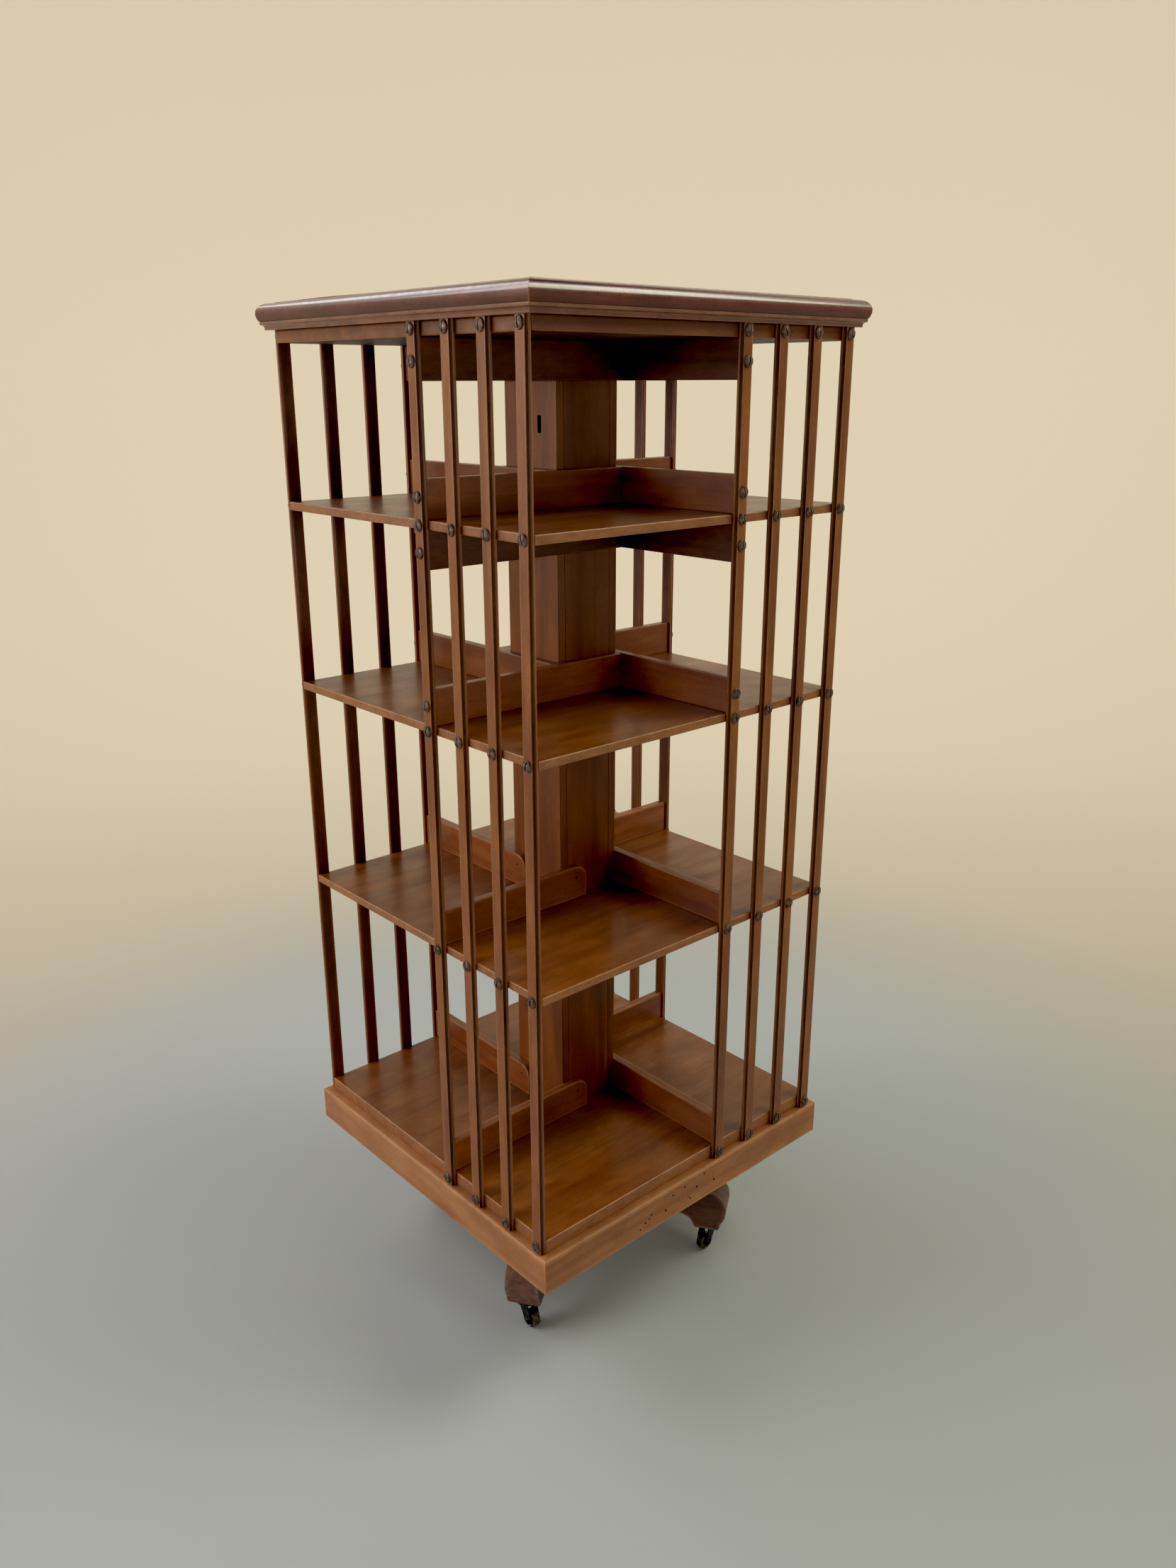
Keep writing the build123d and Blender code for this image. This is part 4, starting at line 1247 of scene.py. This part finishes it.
class BOOKCASE_OT_casters(bpy.types.Operator):
    """Build the horns and wheels of the four casters"""

    bl_idname = "bookcase.casters"
    bl_label = "Casters"

    def execute(self, context):
        soft = context.scene.bookcase_sizes.wheel_round
        materials = finishes(context.scene.bookcase_colours)
        iron, brass = materials["Blackened iron"], materials["Old brass"]
        draw = random.Random(71)
        joints = {joint["name"]: Vector(joint["pos_m"]) for joint in frame["joints"]}
        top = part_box("caster_plates")[0].z - 0.3 * MM
        neck = top - 4 * MM
        inside, cheek = 7.6 * MM, 2.4 * MM  # half the gap between the cheeks, their thickness
        for name in CASTERS:
            swivel = joints[f"caster_swivel_{name}"] * Vector((1, 1, 0))
            axle = joints[f"wheel_roll_{name}"]
            trail = (axle - swivel) * Vector((1, 1, 0))
            ahead = trail.normalized()
            across = Vector((0, 0, 1)).cross(ahead)
            turn = Matrix((ahead, across, (0, 0, 1))).transposed().to_4x4()
            place = Matrix.Translation(swivel) @ turn
            axle_place = Matrix.Translation(axle) @ turn @ Matrix.Rotation(math.pi / 2, 4, "X")

            work = new_work()
            head = [
                (0, top), (12.4, top), (13, top - 0.5 * MM), (13, neck + 1.6 * MM),
                (12.5, neck + 0.5 * MM), (10.6, neck - 0.6 * MM), (9.8, neck - 1.6 * MM),
                (0, neck - 1.6 * MM),
            ]
            add_turned(work, [(radius * MM, high) for radius, high in head], 32, place)
            pin_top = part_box(f"caster_horn_{name}")[1].z
            pin_low = pin_top - 2.5 * MM
            pin = [
                (0, pin_top), (6, pin_top), (6.5, pin_top - 0.6 * MM), (6.5, pin_low),
                (4.5, pin_low), (4.5, top), (0, top),
            ]
            add_turned(work, [(radius * MM, high) for radius, high in pin], 20, place)
            reach, eye = trail.length, 6.5 * MM
            outline = arc((reach, axle.z), eye, -180, 0, 16)
            outline += [
                (reach + 5.6 * MM, axle.z + 7 * MM), (reach + 3.4 * MM, axle.z + 15 * MM),
                (reach + 0.6 * MM, axle.z + 22 * MM), (8 * MM, neck - 0.4 * MM),
                (-8 * MM, neck - 0.4 * MM), (-6.4 * MM, neck - 7 * MM),
                (-3.2 * MM, axle.z + 14 * MM), (reach - 7.6 * MM, axle.z + 6 * MM),
            ]
            for low in (inside, -inside - cheek):
                add_board_from_outline(work, outline, low, low + cheek, 0.5 * MM, draw, place)
            half = inside + 3.7 * MM
            rivet = [
                (0, half), (2.2, half - 0.15 * MM), (3.4, half - 0.6 * MM), (4, half - 1.2 * MM),
                (2.5, half - 1.25 * MM),
            ]
            rivet += [(radius, -high) for radius, high in reversed(rivet)]
            add_turned(work, [(radius * MM, high) for radius, high in rivet], 20, axle_place)
            finish_piece(
                f"horn_{name}", work, iron, f"caster_{name}",
                [f"caster_horn_{name}"],
            )

            work = new_work()
            half_tread = 6.5
            side = [
                (2.6, 7.3), (5.1, 7.3), (5.5, 6.9), (5.5, 5.8), (6.2, 5.3), (9.3, 5.2),
                (10.2, 6.1), (10.6, half_tread),
            ]
            side = [(radius * MM, high * MM) for radius, high in side]
            rounding = arc((half_tread * MM - soft, axle.z - soft), soft, 0, 90, 6)
            side += [(radius, high) for high, radius in rounding]
            tread = side + [(radius, -high) for radius, high in reversed(side)]
            add_turned(work, tread, 48, axle_place)
            finish_piece(
                f"wheel_{name}", work, brass, f"wheel_{name}",
                [f"caster_wheel_{name}"],
            )
        return {"FINISHED"}


class BOOKCASE_OT_stage(bpy.types.Operator):
    """Set up the pale floor and backdrop, the soft lights and the camera"""

    bl_idname = "bookcase.stage"
    bl_label = "Stage, lights and camera"

    def execute(self, context):
        scene = context.scene
        colours = scene.bookcase_colours

        # The camera stands where the photograph was taken from
        image_width = 1659
        focal_pixels = 1718.82
        yaw, pitch, roll = (math.radians(angle) for angle in (41.827, 18.233, 0.15))
        camera_data = bpy.data.cameras.new("camera")
        camera_data.sensor_fit = "HORIZONTAL"
        camera_data.sensor_width = 36.0
        camera_data.lens = 36.0 * focal_pixels / image_width
        camera = bpy.data.objects.new("camera", camera_data)
        forward = Vector(
            (math.sin(yaw) * math.cos(pitch), math.cos(yaw) * math.cos(pitch), -math.sin(pitch))
        )
        level = forward.cross(Vector((0, 0, 1))).normalized()
        right = level * math.cos(roll) + forward.cross(level) * math.sin(roll)
        turn = Matrix((right, right.cross(forward), -forward)).transposed().to_4x4()
        camera.matrix_world = Matrix.Translation((-1.15521, -1.34608, 1.3853)) @ turn
        scene.collection.objects.link(camera)
        scene.camera = camera

        # Floor and backdrop in one round sweep, wide enough for a camera on any side
        radius, bend, wall_top = 4.5, 1.5, 5.5
        profile = [(0.25 * step, 0) for step in range(12)]
        profile += arc((radius - bend, bend), bend, -90, 0, 12) + [(radius, wall_top)]
        work = bmesh.new()
        add_turned(work, profile, 64, Matrix.Identity(4))
        bmesh.ops.reverse_faces(work, faces=work.faces[:])
        mesh = bpy.data.meshes.new("studio_sweep")
        work.to_mesh(mesh)
        work.free()
        mesh.shade_smooth()
        sweep = bpy.data.objects.new("studio_sweep", mesh)
        scene.collection.objects.link(sweep)
        material, add, shader = new_material("Painted studio sweep")
        place = add("ShaderNodeTexCoord").outputs["Object"]
        reach = add("ShaderNodeVectorMath", {0: place}, operation="LENGTH")
        rise = add(
            "ShaderNodeMapRange", {"Value": reach, "From Min": 0.8, "From Max": 1.9},
            interpolation_type="SMOOTHSTEP",
        )
        paint = add(
            "ShaderNodeMix", {"Factor": rise, "A": (*colours.floor, 1), "B": (*colours.wall, 1)},
            data_type="RGBA",
        )
        behind = add(
            "ShaderNodeVectorMath", {0: place, 1: (math.sin(yaw), math.cos(yaw), 0)},
            operation="DOT_PRODUCT",
        )
        glow = add(
            "ShaderNodeMapRange",
            {
                "Value": behind, "From Min": -1.5, "From Max": 4.2, "To Min": 0.14,
                "To Max": 0.76,
            },
            interpolation_type="SMOOTHSTEP",
        )
        shine = add("ShaderNodeMath", {0: glow, 1: rise}, operation="MULTIPLY")
        feed(
            shader,
            {
                "Base Color": paint, "Emission Color": (*colours.glow, 1),
                "Emission Strength": shine, "Roughness": 0.8,
            },
        )
        mesh.materials.append(material)

        # Soft lights round the middle of the case, each with its azimuth, elevation, distance,
        # width, the watts per m2 with which it strikes the case, and its tint: warm ones in front
        # on the right, cool ones on the left, and two small ones that glint along the bullnose.
        middle = Vector((0, 0, 0.8))
        for name, azimuth, elevation, away, size, strength, tint in (
            ("right_light", 317, 44, 3.7, 1.6, 1.32, (1.0, 1.0, 0.78)),
            ("low_right_light", 285, 2, 3.0, 0.6, 0.24, (1.0, 0.95, 0.75)),
            ("low_left_light", 155, 12, 3.7, 1.6, 0.98, (1.0, 0.94, 0.87)),
            ("high_left_light", 138, 38, 3.7, 1.6, 0.9, (1.0, 0.97, 0.95)),
            ("front_fill", 212, 18, 2.1, 0.8, 0.17, (1.0, 0.95, 0.8)),
            ("left_glint", 105, 43, 3.7, 1.1, 0.32, (0.93, 0.96, 1.0)),
            ("right_glint", 334, 54, 3.7, 1.1, 0.13, (0.93, 0.96, 1.0)),
        ):
            turn, high = math.radians(azimuth), math.radians(elevation)
            level = math.cos(high)
            to_light = Vector((math.cos(turn) * level, math.sin(turn) * level, math.sin(high)))
            light_data = bpy.data.lights.new(name, "AREA")
            light_data.shape = "SQUARE"
            light_data.size = size
            light_data.energy = strength * math.pi * away**2
            light_data.color = tint
            light = bpy.data.objects.new(name, light_data)
            light.visible_camera = False
            facing = (-to_light).to_track_quat("-Z", "Y").to_matrix().to_4x4()
            light.matrix_world = Matrix.Translation(middle + away * to_light) @ facing
            scene.collection.objects.link(light)
        world = bpy.data.worlds.new("studio_world")
        world.use_nodes = True
        background = {"Color": (*linear("#e6e4e0"), 1), "Strength": 0.03}
        feed(world.node_tree.nodes["Background"], background)
        scene.world = world

        # The photograph's darks are crushed, as by a camera that takes a little off every channel
        view = scene.view_settings
        view.view_transform = "Standard"
        view.use_curve_mapping = True
        view.curve_mapping.black_level = (0.016, 0.012, 0.009)
        view.curve_mapping.update()
        return {"FINISHED"}


class BOOKCASE_PT_panel(bpy.types.Panel):
    """The bookcase's sizes, colours and build steps"""

    bl_idname = "BOOKCASE_PT_panel"
    bl_label = "Revolving Bookcase"
    bl_space_type = "VIEW_3D"
    bl_region_type = "UI"
    bl_category = "Bookcase"

    def draw(self, context):
        layout = self.layout
        for operator in OPERATORS:
            layout.operator(operator.bl_idname)
        for group in (context.scene.bookcase_sizes, context.scene.bookcase_colours):
            box = layout.box()
            for name in group.__annotations__:
                box.prop(group, name)


OPERATORS = (
    BOOKCASE_OT_boards,
    BOOKCASE_OT_slats,
    BOOKCASE_OT_screws,
    BOOKCASE_OT_rails,
    BOOKCASE_OT_column,
    BOOKCASE_OT_plinth,
    BOOKCASE_OT_top,
    BOOKCASE_OT_base,
    BOOKCASE_OT_casters,
    BOOKCASE_OT_stage,
)
CLASSES = (BookcaseSizes, BookcaseColours, *OPERATORS, BOOKCASE_PT_panel)


def register():
    """Make the operators, the panel and the settings known to Blender."""
    for one in CLASSES:
        bpy.utils.register_class(one)
    bpy.types.Scene.bookcase_sizes = PointerProperty(type=BookcaseSizes)
    bpy.types.Scene.bookcase_colours = PointerProperty(type=BookcaseColours)


def unregister():
    """Take them away again."""
    del bpy.types.Scene.bookcase_sizes
    del bpy.types.Scene.bookcase_colours
    for one in reversed(CLASSES):
        bpy.utils.unregister_class(one)


def main():
    register()
    bpy.ops.bookcase.boards()
    bpy.ops.bookcase.slats()
    bpy.ops.bookcase.screws()
    bpy.ops.bookcase.rails()
    bpy.ops.bookcase.column()
    bpy.ops.bookcase.plinth()
    bpy.ops.bookcase.top()
    bpy.ops.bookcase.base()
    bpy.ops.bookcase.casters()
    bpy.ops.bookcase.stage()


if __name__ == "__main__":
    main()
